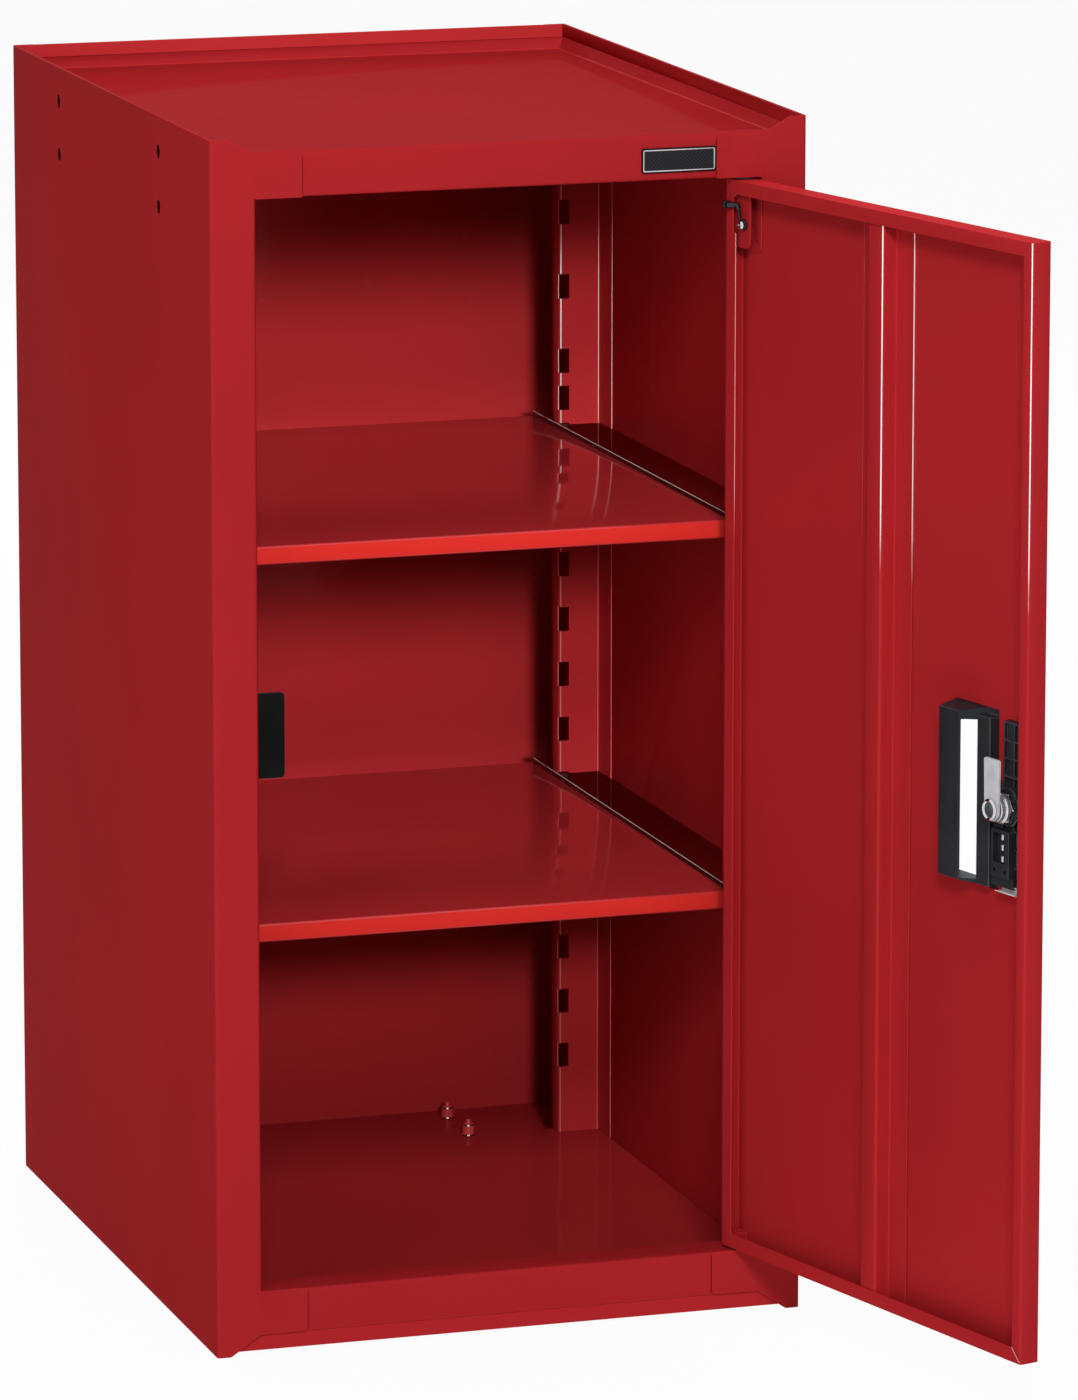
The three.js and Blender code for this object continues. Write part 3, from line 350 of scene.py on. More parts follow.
def oblong(x0, x1, y0, y1, radius):
    return rounded([(x0, y0, radius), (x1, y0, radius), (x1, y1, radius), (x0, y1, radius)])


def slab(outline, low, high):
    """A plate with an outline in its own plane, between two heights."""
    form = bmesh.new()
    rings = [[form.verts.new((*point, height)) for point in outline] for height in (low, high)]
    form.faces.new(rings[0])
    form.faces.new(rings[1])
    for i in range(len(outline)):
        form.faces.new((rings[0][i - 1], rings[0][i], rings[1][i], rings[1][i - 1]))
    bmesh.ops.recalc_face_normals(form, faces=form.faces)
    return form


def looped(rings, closed=False):
    """A surface through rings of points: closed on itself, or capped at its two ends."""
    form = bmesh.new()
    rows = [[form.verts.new(point) for point in ring] for ring in rings]
    pairs = list(zip(rows, rows[1:]))
    if closed:
        pairs.append((rows[-1], rows[0]))
    for row, following in pairs:
        for i in range(len(row)):
            form.faces.new((row[i - 1], row[i], following[i], following[i - 1]))
    if not closed:
        form.faces.new(rows[0])
        form.faces.new(rows[-1])
    bmesh.ops.recalc_face_normals(form, faces=form.faces)
    return form


def turned(profile, closed=False, sides=40):
    """A form turned about the height axis, from radii and heights. A closed profile makes a ring."""
    corners = [2 * math.pi * k / sides for k in range(sides)]
    rings = [[(r * math.cos(a), r * math.sin(a), h) for a in corners] for r, h in profile]
    return looped(rings, closed)


def heading(path, i):
    """The direction of an open path at one of its points."""
    return (path[min(i + 1, len(path) - 1)] - path[max(i - 1, 0)]).normalized()


def tube(path, radii):
    """A round bar along a path, with its own radius at each point."""
    sides = 16
    angles = [2 * math.pi * k / sides for k in range(sides)]
    rings = []
    across = None
    for i, (point, radius) in enumerate(zip(path, radii)):
        along = heading(path, i)
        across = across or along.orthogonal()
        across = (across - along * across.dot(along)).normalized()
        other = along.cross(across)
        rings.append([point + radius * (across * math.cos(a) + other * math.sin(a)) for a in angles])
    return looped(rings)


def offset(path, distance):
    """A line beside an open path, at a distance to its left."""
    moved = []
    for i, point in enumerate(path):
        along = heading(path, i)
        moved.append(point + distance * Vector((-along.y, along.x)))
    return moved


def ribbon(path, width, low, high):
    """A strip along the left of an open path, between two heights."""
    return slab(list(path) + offset(path, width)[::-1], low, high)


def eased(form, width):
    """The form with its sharp edges rounded."""
    least = math.radians(30)
    sharp = [e for e in form.edges if len(e.link_faces) == 2 and e.calc_face_angle(0) > least]
    bmesh.ops.bevel(form, geom=sharp, offset=width, segments=2, profile=0.5, affect="EDGES")
    return form


def put(form, at):
    bmesh.ops.transform(form, matrix=at, verts=form.verts)
    return form


def as_mesh(form, name):
    mesh = bpy.data.meshes.new(name)
    form.to_mesh(mesh)
    form.free()
    return mesh


def carved(form, tools):
    """The form less the tools."""
    body = link(bpy.data.objects.new("carved", as_mesh(form, "carved")))
    cutters = [link(bpy.data.objects.new("tool", as_mesh(tool, "tool"))) for tool in tools]
    for cutter in cutters:
        cut = body.modifiers.new("cut", "BOOLEAN")
        cut.operation = "DIFFERENCE"
        cut.solver = "EXACT"
        cut.object = cutter
    done = body.evaluated_get(bpy.context.evaluated_depsgraph_get())
    result = bmesh.new()
    result.from_mesh(done.to_mesh())
    done.to_mesh_clear()
    for used in (body, *cutters):
        mesh = used.data
        bpy.data.objects.remove(used)
        bpy.data.meshes.remove(mesh)
    return result


# Pieces

STANDING = set()

# Widths of the eased edges: the width at a full weight, a cut edge's, and how wide both faces of a fold are
WIDEST_EASE = 2
CUT_EASE = 0.26
FOLD_ROOM = 3


def link(piece):
    SCENE.collection.objects.link(piece)
    return piece


def body_of(node):
    return next(name for name, members in BODIES.items() if node in members)


def stand_for(piece, node):
    STANDING.add(node)
    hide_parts(node)
    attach(piece, body_of(node))


def made_of(name, *forms):
    """A piece of closed forms, each given with its finish and its place."""
    work = bmesh.new()
    mesh = bpy.data.meshes.new(name)
    for form, finish, at in forms:
        if finish.name not in mesh.materials:
            mesh.materials.append(finish)
        for face in form.faces:
            face.smooth = True
            face.material_index = mesh.materials.find(finish.name)
        part = as_mesh(put(form, at), "form")
        work.from_mesh(part)
        bpy.data.meshes.remove(part)
    work.to_mesh(mesh)
    work.free()
    mesh.set_sharp_from_angle(angle=math.radians(38))
    piece = link(bpy.data.objects.new(name, mesh))
    even = piece.modifiers.new("even", "WEIGHTED_NORMAL")
    even.keep_sharp = True
    return piece


def width_beside(edge, face):
    """How far the face reaches from the edge, along its own plane, at the narrowest of three places."""
    loop = next(l for l in face.loops if l.edge == edge)
    start = loop.vert.co
    along = loop.link_loop_next.vert.co - start
    length = along.length
    along.normalize()
    inward = face.normal.cross(along)
    best = 1.0
    for other in face.edges:
        if other == edge:
            continue
        p, q = (v.co - start for v in other.verts)
        pu, qu, pv, qv = p.dot(along), q.dot(along), p.dot(inward), q.dot(inward)
        for share in (0.12, 0.5, 0.88):
            u = share * length
            if (pu > u) == (qu > u):
                continue
            reach = pv + (u - pu) / (qu - pu) * (qv - pv)
            if reach > 1e-6:
                best = min(best, reach)
    return best


def shortest_beside(edge):
    """The shortest edge that the ends of this edge run into, on its two faces."""
    beside = {e for face in edge.link_faces for e in face.edges if e != edge}
    return min(e.calc_length() for v in edge.verts for e in v.link_edges if e in beside)


def thin_frame(face):
    """Whether a face runs round in a narrow band, with no room for two eased edges side by side."""
    around = face.calc_perimeter()
    longest = max(edge.calc_length() for edge in face.edges)
    band = 2 * face.calc_area() / around
    return band < 2 * MM and around > 2.5 * longest


def dress(node, finish, edge_finish, other_finish=None, other=None, tools=(), bend=0.9):
    """A copy of a solid with its folds and cut edges eased, in place of the solid itself.

    The faces that other picks have a finish of their own.
    """
    sharp = math.radians(32)
    work = bmesh.new()
    work.from_mesh(frame["nodes"][node].data)
    bmesh.ops.remove_doubles(work, verts=work.verts, dist=2e-6)
    if tools:
        work = carved(work, tools)
    bmesh.ops.dissolve_limit(work, angle_limit=math.radians(0.6), verts=work.verts, edges=work.edges)
    weight = work.edges.layers.float.new("bevel_weight_edge")
    frames = {face for face in work.faces if len(face.verts) > 4 and thin_frame(face)}
    for edge in work.edges:
        if len(edge.link_faces) != 2 or edge.calc_face_angle(0) < sharp:
            continue
        if frames.intersection(edge.link_faces):
            continue
        room = min(width_beside(edge, face) for face in edge.link_faces) / MM
        width = bend if room > FOLD_ROOM else min(CUT_EASE, 0.3 * room)
        edge[weight] = min(width, 0.4 * shortest_beside(edge) / MM) / WIDEST_EASE
    for face in work.faces:
        face.smooth = True
        face.material_index = 2 if other and other(face) else 0
    mesh = as_mesh(work, node + "_skin")
    mesh.set_sharp_from_angle(angle=sharp)
    for layer in (finish, edge_finish, other_finish or finish):
        mesh.materials.append(layer)
    piece = link(bpy.data.objects.new(node + "_skin", mesh))
    ease = piece.modifiers.new("ease", "BEVEL")
    ease.limit_method = "WEIGHT"
    ease.width = WIDEST_EASE * MM
    ease.segments = 3
    ease.use_clamp_overlap = False
    ease.harden_normals = True
    # The eased edges take the second finish, on many pieces a paler colour that is a painted highlight
    ease.material = 1
    stand_for(piece, node)


# Places on the locker

SWING = JOINTS["door_swing"]
OPEN = math.radians(-SWING["range_deg"][0])
ACROSS = Vector((-math.cos(OPEN), -math.sin(OPEN), 0))
INWARD = Vector((-math.sin(OPEN), math.cos(OPEN), 0))
UP = Vector((0, 0, 1))
PIVOT = Vector(SWING["pos_m"]) / MM
HINGE_EDGE = Vector((PIVOT.x, PIVOT.y, 0)) + DOOR_INSET * (INWARD - ACROSS)
LOCK = Vector(JOINTS["cam_turn"]["pos_m"]) / MM

# Across the front, up, and out towards the viewer
FACING = axes((0, 0, 0), (1, 0, 0), UP, (0, -1, 0))
# Across the door from its hinge edge, up, and inward from the plane of its hem
DOOR = axes(HINGE_EDGE, ACROSS, UP, INWARD)
DOOR_SECTION = axes(HINGE_EDGE, INWARD, UP, -ACROSS)
# The same directions from the lock's axis
LOCK_FACE = axes(LOCK, ACROSS, UP, INWARD)
EYE_FACE = axes(HINGE_EDGE + EYE_S * ACROSS + EYE_Z * UP, ACROSS, UP, INWARD)


def box_mm(node):
    return [Vector(corner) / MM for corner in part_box(node)]


def badge():
    """The blank badge: a black plate with a silver border line and a hatched field."""
    low, high = box_mm("badge_plate")
    back, face = -high.y, -low.y

    def inset(by, radius):
        return oblong(low.x + by, high.x - by, low.z + by, high.z - by, radius)

    outside, inside = inset(0.95, 0.9), inset(1.7, 0.5)
    foot, shoulder = face - 0.4, face - 0.08
    border = [
        (outside, foot),
        (outside, shoulder),
        (inset(1.1, 0.8), face),
        (inset(1.55, 0.6), face),
        (inside, shoulder),
        (inside, foot),
    ]
    rings = [[(*point, height) for point in outline] for outline, height in border]
    plate = eased(slab(inset(0, 1.5), back, face - 0.2), 0.22)
    field = slab(inside, face - 0.35, face - 0.14)
    made = made_of(
        "badge_plate_blank",
        (plate, BLACK_STRIKE, FACING),
        (looped(rings, True), CHROME, FACING),
        (field, BLACK_FIELD, FACING),
    )
    stand_for(made, "badge_plate")


def floor_studs():
    """Painted studs: a thin collar, a body and a narrower pin on top, with bright metal rings on both
    shoulders. Their lighter red is painted light.
    """
    collar = [(0.3, 0), (4.75, 0), (4.55, 0.85), (4.1, 1.1)]
    body = [(4.05, 6.6), (3.78, 7.5), (3.5, 7.9), (3.0, 8.1), (2.1, 8.2)]
    pin = [(1.85, 8.5), (1.75, 10.1), (1.55, 10.6), (1.0, 10.9), (0.3, 10.9)]
    bright_part = [
        [(3.9, 6.6), (4.1, 6.6), (3.82, 7.5), (3.6, 7.5)],
        [(4.5, 0.1), (4.84, 0.1), (4.62, 0.85), (4.3, 0.85)],
    ]
    for node in [name for name in frame["nodes"] if name.startswith("floor_stud")]:
        low, high = box_mm(node)
        foot = axes(((low.x + high.x) / 2, (low.y + high.y) / 2, low.z), (1, 0, 0), (0, 1, 0), UP)
        rings = [(turned(ring, True), CHROME, foot) for ring in bright_part]
        stud = (turned(collar + body + pin), STUD_LIT_PAINT, foot)
        stand_for(made_of(node + "_turned", stud, *rings), node)


def pin_clip():
    """A black wire clip: a pin with two collars, an elbow and a ribbed drop to the eye under the screw."""
    pin_z, pin_height = WIRE_Z - 1, 2.8
    elbow, elbow_height, drop_height, eye_height = 2.4, -0.1, -0.6, -2.0
    wire, rib, groove = 1.95, 1.2, 0.85
    drop_s = EYE_S - 2.6
    drop_top = pin_z - elbow
    first_collar = [(3.2, 1.7), (3.5, 2.2), (3.9, 2.5), (5.6, 2.5), (5.9, wire)]
    second_collar = [(6.6, wire), (6.9, 2.5), (8.3, 2.5), (8.8, 2.1)]
    slope = [(9.2, 2.5), (9.8, 1.8), (10.4, 1.0), (10.9, 0.3), (drop_s - elbow, elbow_height)]
    elbow_steps, rib_steps = 7, 24
    path = []
    radii = []

    def reach(s, z, height, radius):
        path.append(Vector((s, z, height)))
        radii.append(radius)

    for s, radius in first_collar + second_collar:
        reach(s, pin_z, pin_height, radius)
    for s, height in slope:
        reach(s, pin_z, height, wire)
    for k in range(1, elbow_steps + 1):
        share = k / elbow_steps
        s = drop_s - elbow + elbow * math.sin(math.pi / 2 * share)
        z = drop_top + elbow * math.cos(math.pi / 2 * share)
        reach(s, z, elbow_height + (drop_height - elbow_height) * share, wire + (rib - wire) * share)
    for k in range(1, rib_steps + 1):
        share = k / rib_steps
        z = drop_top + (EYE_Z - drop_top) * share
        reach(drop_s, z, drop_height + (eye_height - drop_height) * share, rib if k % 4 < 2 else groove)
    eye = [(1.9, -3.2), (3.3, -3.2), (3.6, -2.9), (3.6, -1.7), (3.3, -1.4), (2.2, -1.4), (1.9, -1.7)]
    made = made_of(
        "upper_pin_clip_bent",
        (tube(path, radii), WIRE, DOOR),
        (turned(eye, True), WIRE, EYE_FACE),
    )
    stand_for(made, "upper_pin_clip")


def clip_screw():
    """A pan-head screw with a cross recess."""
    head = [(0.2, 1.0), (1.2, 0.97), (2.0, 0.75), (2.6, 0.3), (2.95, -0.4), (3.0, -1.0)]
    shank = [(1.5, -1.0), (1.5, -4.6), (1.2, -4.7), (0.2, -4.7)]
    arm, half, bottom, top, corner = 1.9, 0.38, -0.1, 2, 0.2
    recess = [
        slab(oblong(-arm, arm, -half, half, corner), bottom, top),
        slab(oblong(-half, half, -arm, arm, corner), bottom, top),
    ]
    screw = carved(turned(head + shank, sides=32), recess)
    made = made_of("upper_clip_screw_head", (screw, CHROME, EYE_FACE))
    stand_for(made, "upper_clip_screw")


# Places on the handle: across the door from its hinge edge, then up from the handle's middle
RECESS = (280.4, 291.8, -36, -17.4)
THIN_BACK = (249.4, 262.4, -50.8, 46.8)
WEB = (275.4, 286, -50, 12)
WEB_FOOT = (275.4, 299, -51, -44)
BLIND_HOLES = ((281.9, -40.6), (292.4, -40.9))
SPRING_ENDS = [(288.9, 290.6, middle - 1.7, middle + 1.7) for middle in (-19.6, -26.0, -33.0)]
SPRING_LEAF = -49.6


def on_handle(place, corner, low, high):
    """A block at a place on the handle, between two heights above the door's hem."""
    near, far, bottom, top = place
    return slab(oblong(near, far, HANDLE_Z + bottom, HANDLE_Z + top, corner), low, high)


def handle_housing():
    """The housing, with a recess and two blind holes in its block, and bright spring ends in the recess."""
    # The rib tops take the paler edge black, a painted highlight
    def rib_top(face):
        height = (face.calc_center_median() / MM - HINGE_EDGE).dot(INWARD)
        return face.normal.dot(INWARD) > 0.9 and abs(height + RIB_LEVEL) < 0.1

    recess_level = -BLOCK_LEVEL - 4
    tools = [
        put(on_handle(RECESS, 0.6, recess_level, 0), DOOR),
        put(on_handle(THIN_BACK, 0.6, -3.4, -1.1), DOOR),
    ]
    for s, z in BLIND_HOLES:
        hole = axes(HINGE_EDGE + s * ACROSS + (HANDLE_Z + z) * UP, ACROSS, UP, INWARD)
        tools.append(put(turned([(0.1, -9), (1.5, -9), (1.5, 0), (0.1, 0)], sides=20), hole))
    dress("handle_housing", BLACK, BLACK_EDGE_HIGHLIGHT, BLACK_EDGE_HIGHLIGHT, rib_top, tools, bend=0.6)
    web = eased(on_handle(WEB, 1, -12.6, -9.4), 0.4)
    foot = eased(on_handle(WEB_FOOT, 1, -12.6, -8), 0.4)
    made = made_of("handle_housing_web", (web, BLACK, DOOR), (foot, BLACK, DOOR))
    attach(made, "door")
    ends = [eased(on_handle(end, 0.5, recess_level - 0.3, -BLOCK_LEVEL - 0.4), 0.25) for end in SPRING_ENDS]
    made = made_of("handle_spring_ends", *[(end, SPRING, DOOR) for end in ends])
    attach(made, "door")


def lock():
    """The lever and its ring nut on the plug, the plug's dark end, and the lock's own nut and barrel."""
    hub, tip, length, corner = 7.2, 7.5, 31, 1.6
    lever_low, lever_high = 4, 6
    turn = [math.radians(angle) for angle in range(200, 341, 14)]
    foot = [(hub * math.cos(angle), hub * math.sin(angle), 0) for angle in turn]
    outline = rounded([*foot, (tip, length, corner), (-tip, length, corner)])
    bore = turned([(0.1, 0), (3.2, 0), (3.2, 9), (0.1, 9)])
    lever = eased(carved(slab(outline, lever_low, lever_high), [bore]), 0.3)
    stand_for(made_of("lock_cam_lever", (lever, SATIN, LOCK_FACE)), "lock_cam")
    nut = [(4.4, 6.3), (6.3, 6.3), (6.7, 6.6), (6.7, 7.1), (6.3, 7.7)]
    nut += [(5.6, 8.1), (5.0, 8.0), (4.6, 7.6), (4.4, 7.2)]
    stand_for(made_of("cam_nut_ring", (turned(nut, True), CHROME, LOCK_FACE)), "cam_nut")
    end = turned([(0.1, 6.3), (4.3, 6.3), (4.3, 6.7), (3.2, 6.8), (2.6, 7.4), (0.1, 7.5)])
    made = made_of("plug_end", (end, PLUG_STEEL, LOCK_FACE))
    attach(made, "lock_cam")
    past_nut = put(slab(oblong(-4, 4, -4, 4, 1), 6.5, 12), LOCK_FACE)
    dress("lock_plug", STEEL, STEEL, tools=[past_nut])
    dress("lock_nut", CHROME, CHROME, bend=0.6)
    dress("lock_cylinder", CHROME, CHROME, bend=0.5)
    collar = [(7.6, -2.4), (9.0, -2.4), (9.3, -2.0), (9.3, -0.3), (8.9, 0.2)]
    collar += [(8.2, 0.3), (8.2, 2.9), (7.9, 3.4), (7.6, 3.5)]
    made = made_of("lock_collar", (turned(collar, True), BARREL, LOCK_FACE))
    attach(made, "door")


def spring_clip():
    """A bent strip of spring steel under the housing: a short leaf above and a long one below."""
    near, far, thick = 283.1, 302.9, 0.5
    leaf = HANDLE_Z + SPRING_LEAF
    above = [(-8.6, 0.5), (-9.6, 0.42), (-11.0, 0.3), (-11.9, 0.02)]
    bend = [(-12.2, -0.6), (-12.25, -2.2), (-12.1, -3.3), (-11.6, -3.9)]
    below = [(-10.4, -4.3), (-8.6, -4.5), (-7.2, -4.3), (-6.0, -3.8)]
    path = [Vector((depth, leaf + rise)) for depth, rise in above + bend + below]
    made = made_of("handle_spring_clip_leaf", (ribbon(path, thick, -far, -near), SPRING, DOOR_SECTION))
    stand_for(made, "handle_spring_clip")


def seams():
    """Painted shadow lines beside the corner tabs on both rails, and the unpainted mitre at the foot of the
    door.
    """
    low = box_mm("left_side_panel")[0]
    half, width, proud = -low.x, 0.7, 0.1
    rail = -(low.y + SHEET + SHEET_GAP)
    heights = ((TAB_BOTTOM + 1, BOTTOM_RAIL - 2), (OPENING_TOP + 2, TAB_TOP - TAB_CORNER))
    strips = []
    for side in (-1, 1):
        near, far = sorted((side * (half - TAB_END), side * (half - TAB_END - width)))
        for bottom, top in heights:
            strip = slab(oblong(near, far, bottom, top, 0.1), rail - proud, rail + proud)
            strips.append((strip, SEAM_SHADOW_PAINT, FACING))
    made = made_of("corner_tab_seams", *strips)
    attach(made, "carcass")
    inner = Vector((DOOR_WIDTH - DOOR_HEM, DOOR_BOTTOM + DOOR_HEM))
    outer = Vector((DOOR_WIDTH - 1, DOOR_BOTTOM + 1))
    made = made_of("door_foot_mitre", (ribbon([inner, outer], 0.45, -0.1, 0.06), STEEL, DOOR))
    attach(made, "door")


def shelf_edging():
    """A near-black strip with a pale bright crest along both sides of each shelf."""
    thick, tall, overlap, crest, inset, short = 1.0, 2.8, 0.4, 0.25, 0.2, 1
    for node in ("lower_shelf", "upper_shelf"):
        low, high = box_mm(node)
        rear, front = -high.y + short, -low.y - short
        top = high.z + tall
        forms = []
        for edge, side in ((low.x, 1), (high.x, -1)):
            near, far = sorted((edge, edge + side * thick))
            strip = slab(oblong(near, far, high.z - overlap, top, 0.3), rear, front)
            bright_part = slab(oblong(near + inset, far - inset, top - 0.1, top + crest, 0.12), rear, front)
            forms += [(strip, EDGING, FACING), (bright_part, PALE_CREST_METAL, FACING)]
        made = made_of(node + "_edging", *forms)
        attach(made, "carcass")


def hole_collars():
    """Short collars drawn inward round the hanging holes, in near-black painted shade, which keep the lit
    inside out of sight.
    """
    wall = box_mm("left_side_panel")[0].x + SHEET
    outside = [(5.05, -0.05), (4.95, 2.2), (4.8, 2.5)]
    inside = [(4.65, 2.5), (HANG_RADIUS, 2.3), (HANG_RADIUS, -0.05)]
    collars = []
    for y, z in HANGING_HOLES:
        at = axes((wall, y, z), (0, 1, 0), UP, (1, 0, 0))
        collars.append((turned(outside + inside, True, 32), HOLE_SHADE_PAINT, at))
    made = made_of("hanging_hole_collars", *collars)
    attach(made, "carcass")


def faces_forward(face):
    return face.normal.y < -0.9


def in_hanging_hole(face):
    """The cut edge of a hanging hole in the left side, which takes the near-black painted shade."""
    place = face.calc_center_median() / MM
    near = min(math.hypot(place.y - y, place.z - z) for y, z in HANGING_HOLES)
    return abs(face.normal.x) < 0.3 and near < HANG_RADIUS + 1


def upright_strip(face, shortest, widest):
    """Whether a face is a narrow strip that runs up and down."""
    longest = max(face.edges, key=lambda edge: edge.calc_length())
    length = longest.calc_length()
    rise = abs(longest.verts[1].co.z - longest.verts[0].co.z)
    return length > shortest * MM and rise > 0.9 * length and face.calc_area() < widest * MM * length


def door_glint(face):
    """One step of each upright fold that turns to the door's free side, and its upright cut edges: the
    faces that take the painted highlight.
    """
    inward, across = face.normal.dot(INWARD), face.normal.dot(ACROSS)
    height = (face.calc_center_median() / MM - HINGE_EDGE).dot(INWARD)
    turning = 0.75 < inward < 0.9 and across > 0.3 and height > -6
    return (turning or across > 0.995) and upright_strip(face, 200, 1.2)


# The narrow front faces of the uprights' folds, which take the painted highlight
def upright_glint(face):
    return face.normal.y < -0.95 and upright_strip(face, 6, 1.2)


# The finish of a piece, of its edges and, where some faces differ, of those faces and how they are picked
NODE_FINISH = {
    "back_panel": (INNER_PAINT, CREST_HIGHLIGHT_PAINT),
    "bottom_pan": (FLOOR_PAINT, CREST_HIGHLIGHT_PAINT, PAINT, faces_forward),
    "left_side_panel": (PAINT, CREST_HIGHLIGHT_PAINT, HOLE_SHADE_PAINT, in_hanging_hole),
    "door_panel": (DOOR_PAINT, CREST_HIGHLIGHT_PAINT, DOOR_FOLD_HIGHLIGHT, door_glint),
    "door_stiffener": (DOOR_PAINT, DOOR_FOLD_HIGHLIGHT, DOOR_FOLD_HIGHLIGHT, door_glint),
    "lower_hinge_block": (PAINT, PAINT),
    "strike_plate": (BLACK_STRIKE, BLACK_EDGE_HIGHLIGHT),
}
SHELF_FINISH = (SHELF_PAINT, SHELF_FRONT_LIT_PAINT, SHELF_FRONT_LIT_PAINT, faces_forward)
UPRIGHT_FINISH = (INNER_PAINT, CREST_HIGHLIGHT_PAINT, UPRIGHT_FOLD_HIGHLIGHT, upright_glint)
SLOT_FINISH = {
    "red_paint": (PAINT, CREST_HIGHLIGHT_PAINT),
    "zinc_steel": (STEEL, STEEL),
    "nylon": (NYLON, NYLON),
}


def finish_of(node):
    if node.endswith("_shelf"):
        return SHELF_FINISH
    if node.endswith("_upright"):
        return UPRIGHT_FINISH
    return NODE_FINISH.get(node) or SLOT_FINISH[SLOTS[node]]


def sheet_metal():
    """Every piece that has no form of its own above: the solid with its edges eased, in its own finish."""
    for node in frame["nodes"]:
        if node not in STANDING:
            dress(node, *finish_of(node))


badge()
floor_studs()
pin_clip()
clip_screw()
handle_housing()
lock()
spring_clip()
seams()
shelf_edging()
hole_collars()
sheet_metal()


# Floor, light and camera, in metres

MIDDLE = (0.0, -0.35, 0.45)
INSIDE = (0.0, -0.2, 0.52)
DOOR_TOP = (0.205, -0.64, 0.7)
BEAM_STAND = (-0.708, -4.433)
AMBIENT = 0.04
FLOOR_GLOW = 0.955
FLOOR_REACH = 30
FLOOR_LEVEL = -0.0003
CAMERA_PLACE = (-1.4949, -5.1897, 1.439)
CAMERA_TURN = 17.636
CAMERA_TILT = 10.38
# In pixels of the whole picture
LONG_SIDE = 1400
FOCAL_LENGTH = 8135.1
SHIFT = (21.8, -200)


def seen_directly(made):
    """1 where the eye, a mirror or a clear piece looks straight at the studio, and 0 for its light."""
    path = made.node("LightPath")
    return path["Is Camera Ray"].most(path["Is Glossy Ray"]).most(path["Is Transmission Ray"])


def floor():
    made = Finish(bpy.data.materials.new("studio_floor"))
    matte = made.node("BsdfDiffuse", None, Color=(0.82, 0.82, 0.82, 1))["BSDF"]
    glow = made.node("Emission", None, Color=(1, 1, 1, 1), Strength=1.0)["Emission"]
    shader = made.node("MixShader", None, n0=seen_directly(made) * FLOOR_GLOW, n1=matte, n2=glow)["Shader"]
    sides = ((-1, -1), (1, -1), (1, 1), (-1, 1))
    corners = [(x * FLOOR_REACH, y * FLOOR_REACH, FLOOR_LEVEL) for x, y in sides]
    mesh = bpy.data.meshes.new("studio_floor")
    mesh.from_pydata(corners, [], [(0, 1, 2, 3)])
    mesh.materials.append(made.surface(shader))
    link(bpy.data.objects.new("studio_floor", mesh))


def light_card(corners):
    """A card that only lamps notice. No eye or mirror sees it."""
    mesh = bpy.data.meshes.new("light_card")
    mesh.from_pydata([Vector(corner) * MM for corner in corners], [], [(0, 1, 2, 3)])
    card = link(bpy.data.objects.new("light_card", mesh))
    card.visible_camera = False
    card.visible_diffuse = False
    card.visible_glossy = False
    card.visible_transmission = False


def light_cards():
    """Cards that keep the lamps out of the gaps beside the shelves and out of the rear uprights' slots."""
    wall = box_mm("left_side_panel")[0].x + SHEET
    rear = box_mm("back_panel")[0].y
    for node in ("lower_shelf", "upper_shelf"):
        low, high = box_mm(node)
        for edge, side in ((low.x, wall), (high.x, -wall)):
            sides = ((edge, low.y), (side, low.y), (side, rear), (edge, rear))
            light_card([(x, y, high.z) for x, y in sides])
    low, high = box_mm("rear_right_upright")
    behind, past_edge = 4, 6
    for side in (-1, 1):
        inner, outer = side * (low.x - past_edge), side * (high.x - SHEET)
        sides = ((inner, low.z), (outer, low.z), (outer, high.z), (inner, high.z))
        light_card([(x, high.y - behind, z) for x, z in sides])


def world():
    made = Finish(bpy.data.worlds.new("studio"))
    SCENE.world = made.owner
    strength = AMBIENT + seen_directly(made) * (1 - AMBIENT)
    made.surface(made.node("Background", None, Color=(1, 1, 1, 1), Strength=strength)["Background"])


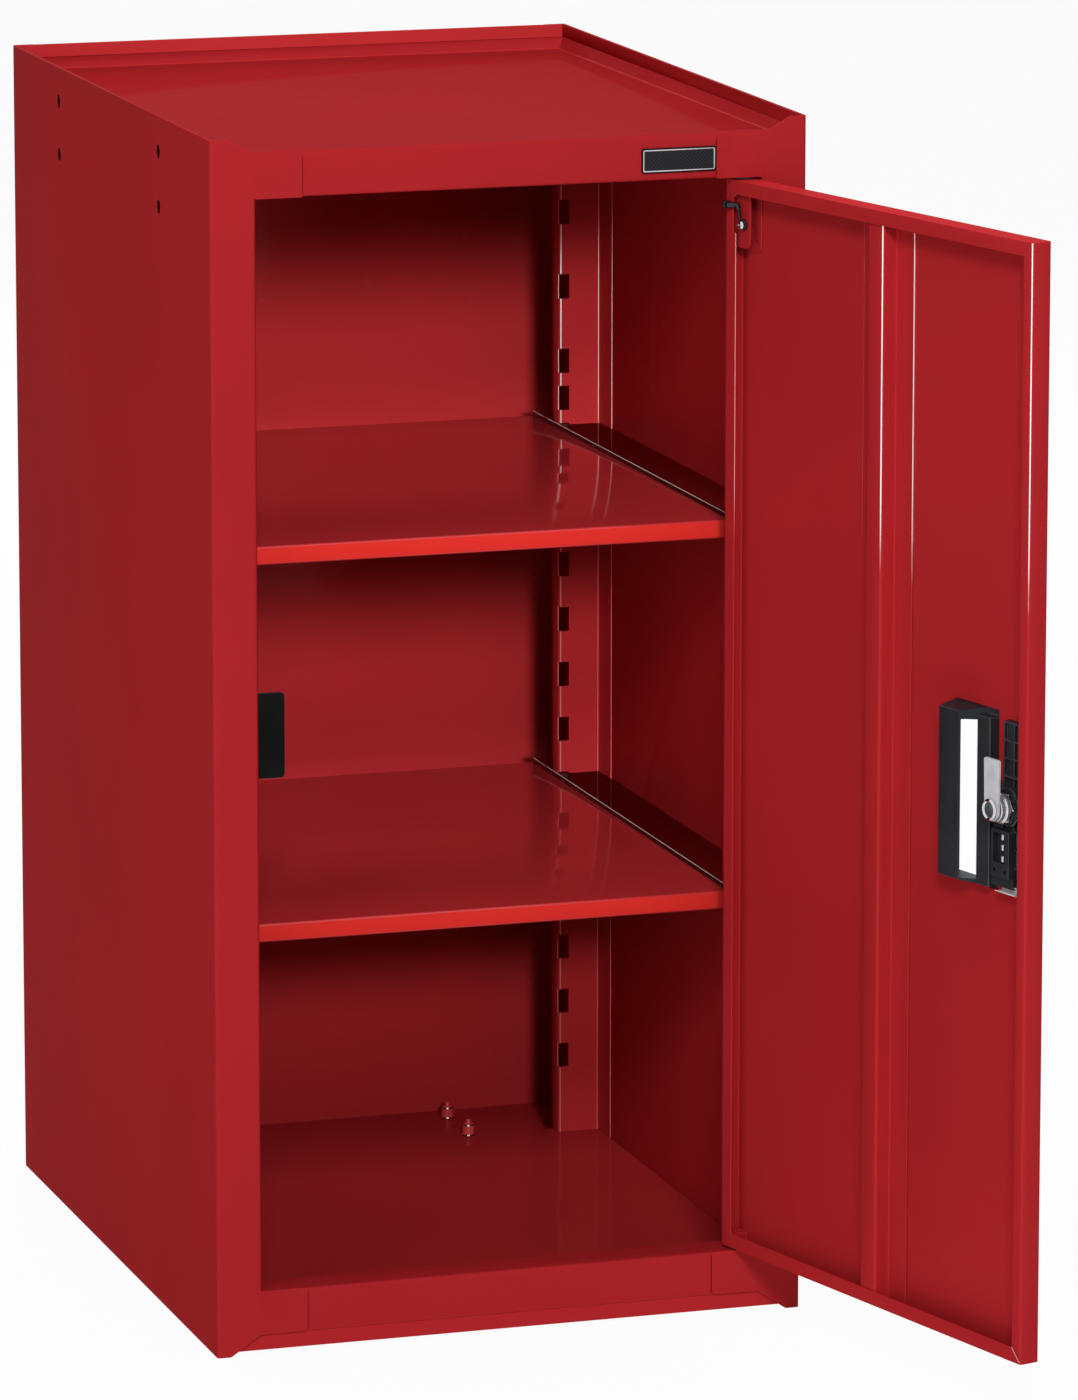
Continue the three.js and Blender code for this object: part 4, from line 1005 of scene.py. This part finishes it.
def hang(data, at, aim):
    piece = link(bpy.data.objects.new(data.name, data))
    piece.location = at
    piece.rotation_euler = (Vector(aim) - Vector(at)).to_track_quat("-Z", "Y").to_euler()
    piece.visible_glossy = False
    return piece


def lamp(name, at, size, power):
    data = bpy.data.lights.new(name, "AREA")
    data.shape = "RECTANGLE"
    data.size, data.size_y = size
    data.energy = power
    hang(data, at, MIDDLE)


def beam(name, at, aim, softness, power, *endings):
    """A narrow beam on the pieces with these endings to their names alone."""
    data = bpy.data.lights.new(name, "SPOT")
    data.shadow_soft_size = softness
    data.spot_size = math.radians(13)
    data.spot_blend = 1.0
    data.energy = power
    lit = bpy.data.collections.new(name)
    for piece in SCENE.objects:
        if piece.name.endswith(endings):
            lit.objects.link(piece)
    hang(data, at, aim).light_linking.receiver_collection = lit


def camera():
    data = bpy.data.cameras.new("camera")
    piece = link(bpy.data.objects.new("camera", data))
    data.sensor_width = 36
    data.lens = FOCAL_LENGTH / LONG_SIDE * data.sensor_width
    data.shift_x, data.shift_y = (shift / LONG_SIDE for shift in SHIFT)
    data.clip_end = 100
    piece.location = CAMERA_PLACE
    turn, tilt = math.radians(CAMERA_TURN), math.radians(CAMERA_TILT)
    look = Vector((math.sin(turn) * math.cos(tilt), math.cos(turn) * math.cos(tilt), -math.sin(tilt)))
    piece.rotation_euler = look.to_track_quat("-Z", "Y").to_euler()
    SCENE.camera = piece


floor()
light_cards()
world()
lamp("key_front", (-0.943, -4.131, 2.7), (0.9, 0.9), 128)
lamp("fill_left", (-2.4, -2.55, 0.9), (1.4, 1.6), 28.5)
lamp("top_soft", (0.0, -0.3, 2.6), (1.6, 1.6), 18)
lamp("fill_back", (0.4, 3.4, 1.7), (1.6, 1.6), 60)
lamp("fill_right", (3.2, 0.9, 1.2), (1.4, 1.6), 40)
beam("shelf_beam", (*BEAM_STAND, 1.873), INSIDE, 0.4, 960,
     "_shelf_skin", "_clip_skin", "_edging", "bottom_pan_skin", "_turned")
beam("back_beam", (*BEAM_STAND, 1.72), INSIDE, 0.4, 1080, "back_panel_skin", "_upright_skin")
beam("door_beam", (0.205, -0.64, 3.7), DOOR_TOP, 0.02, 165, "door_panel_skin")
camera()
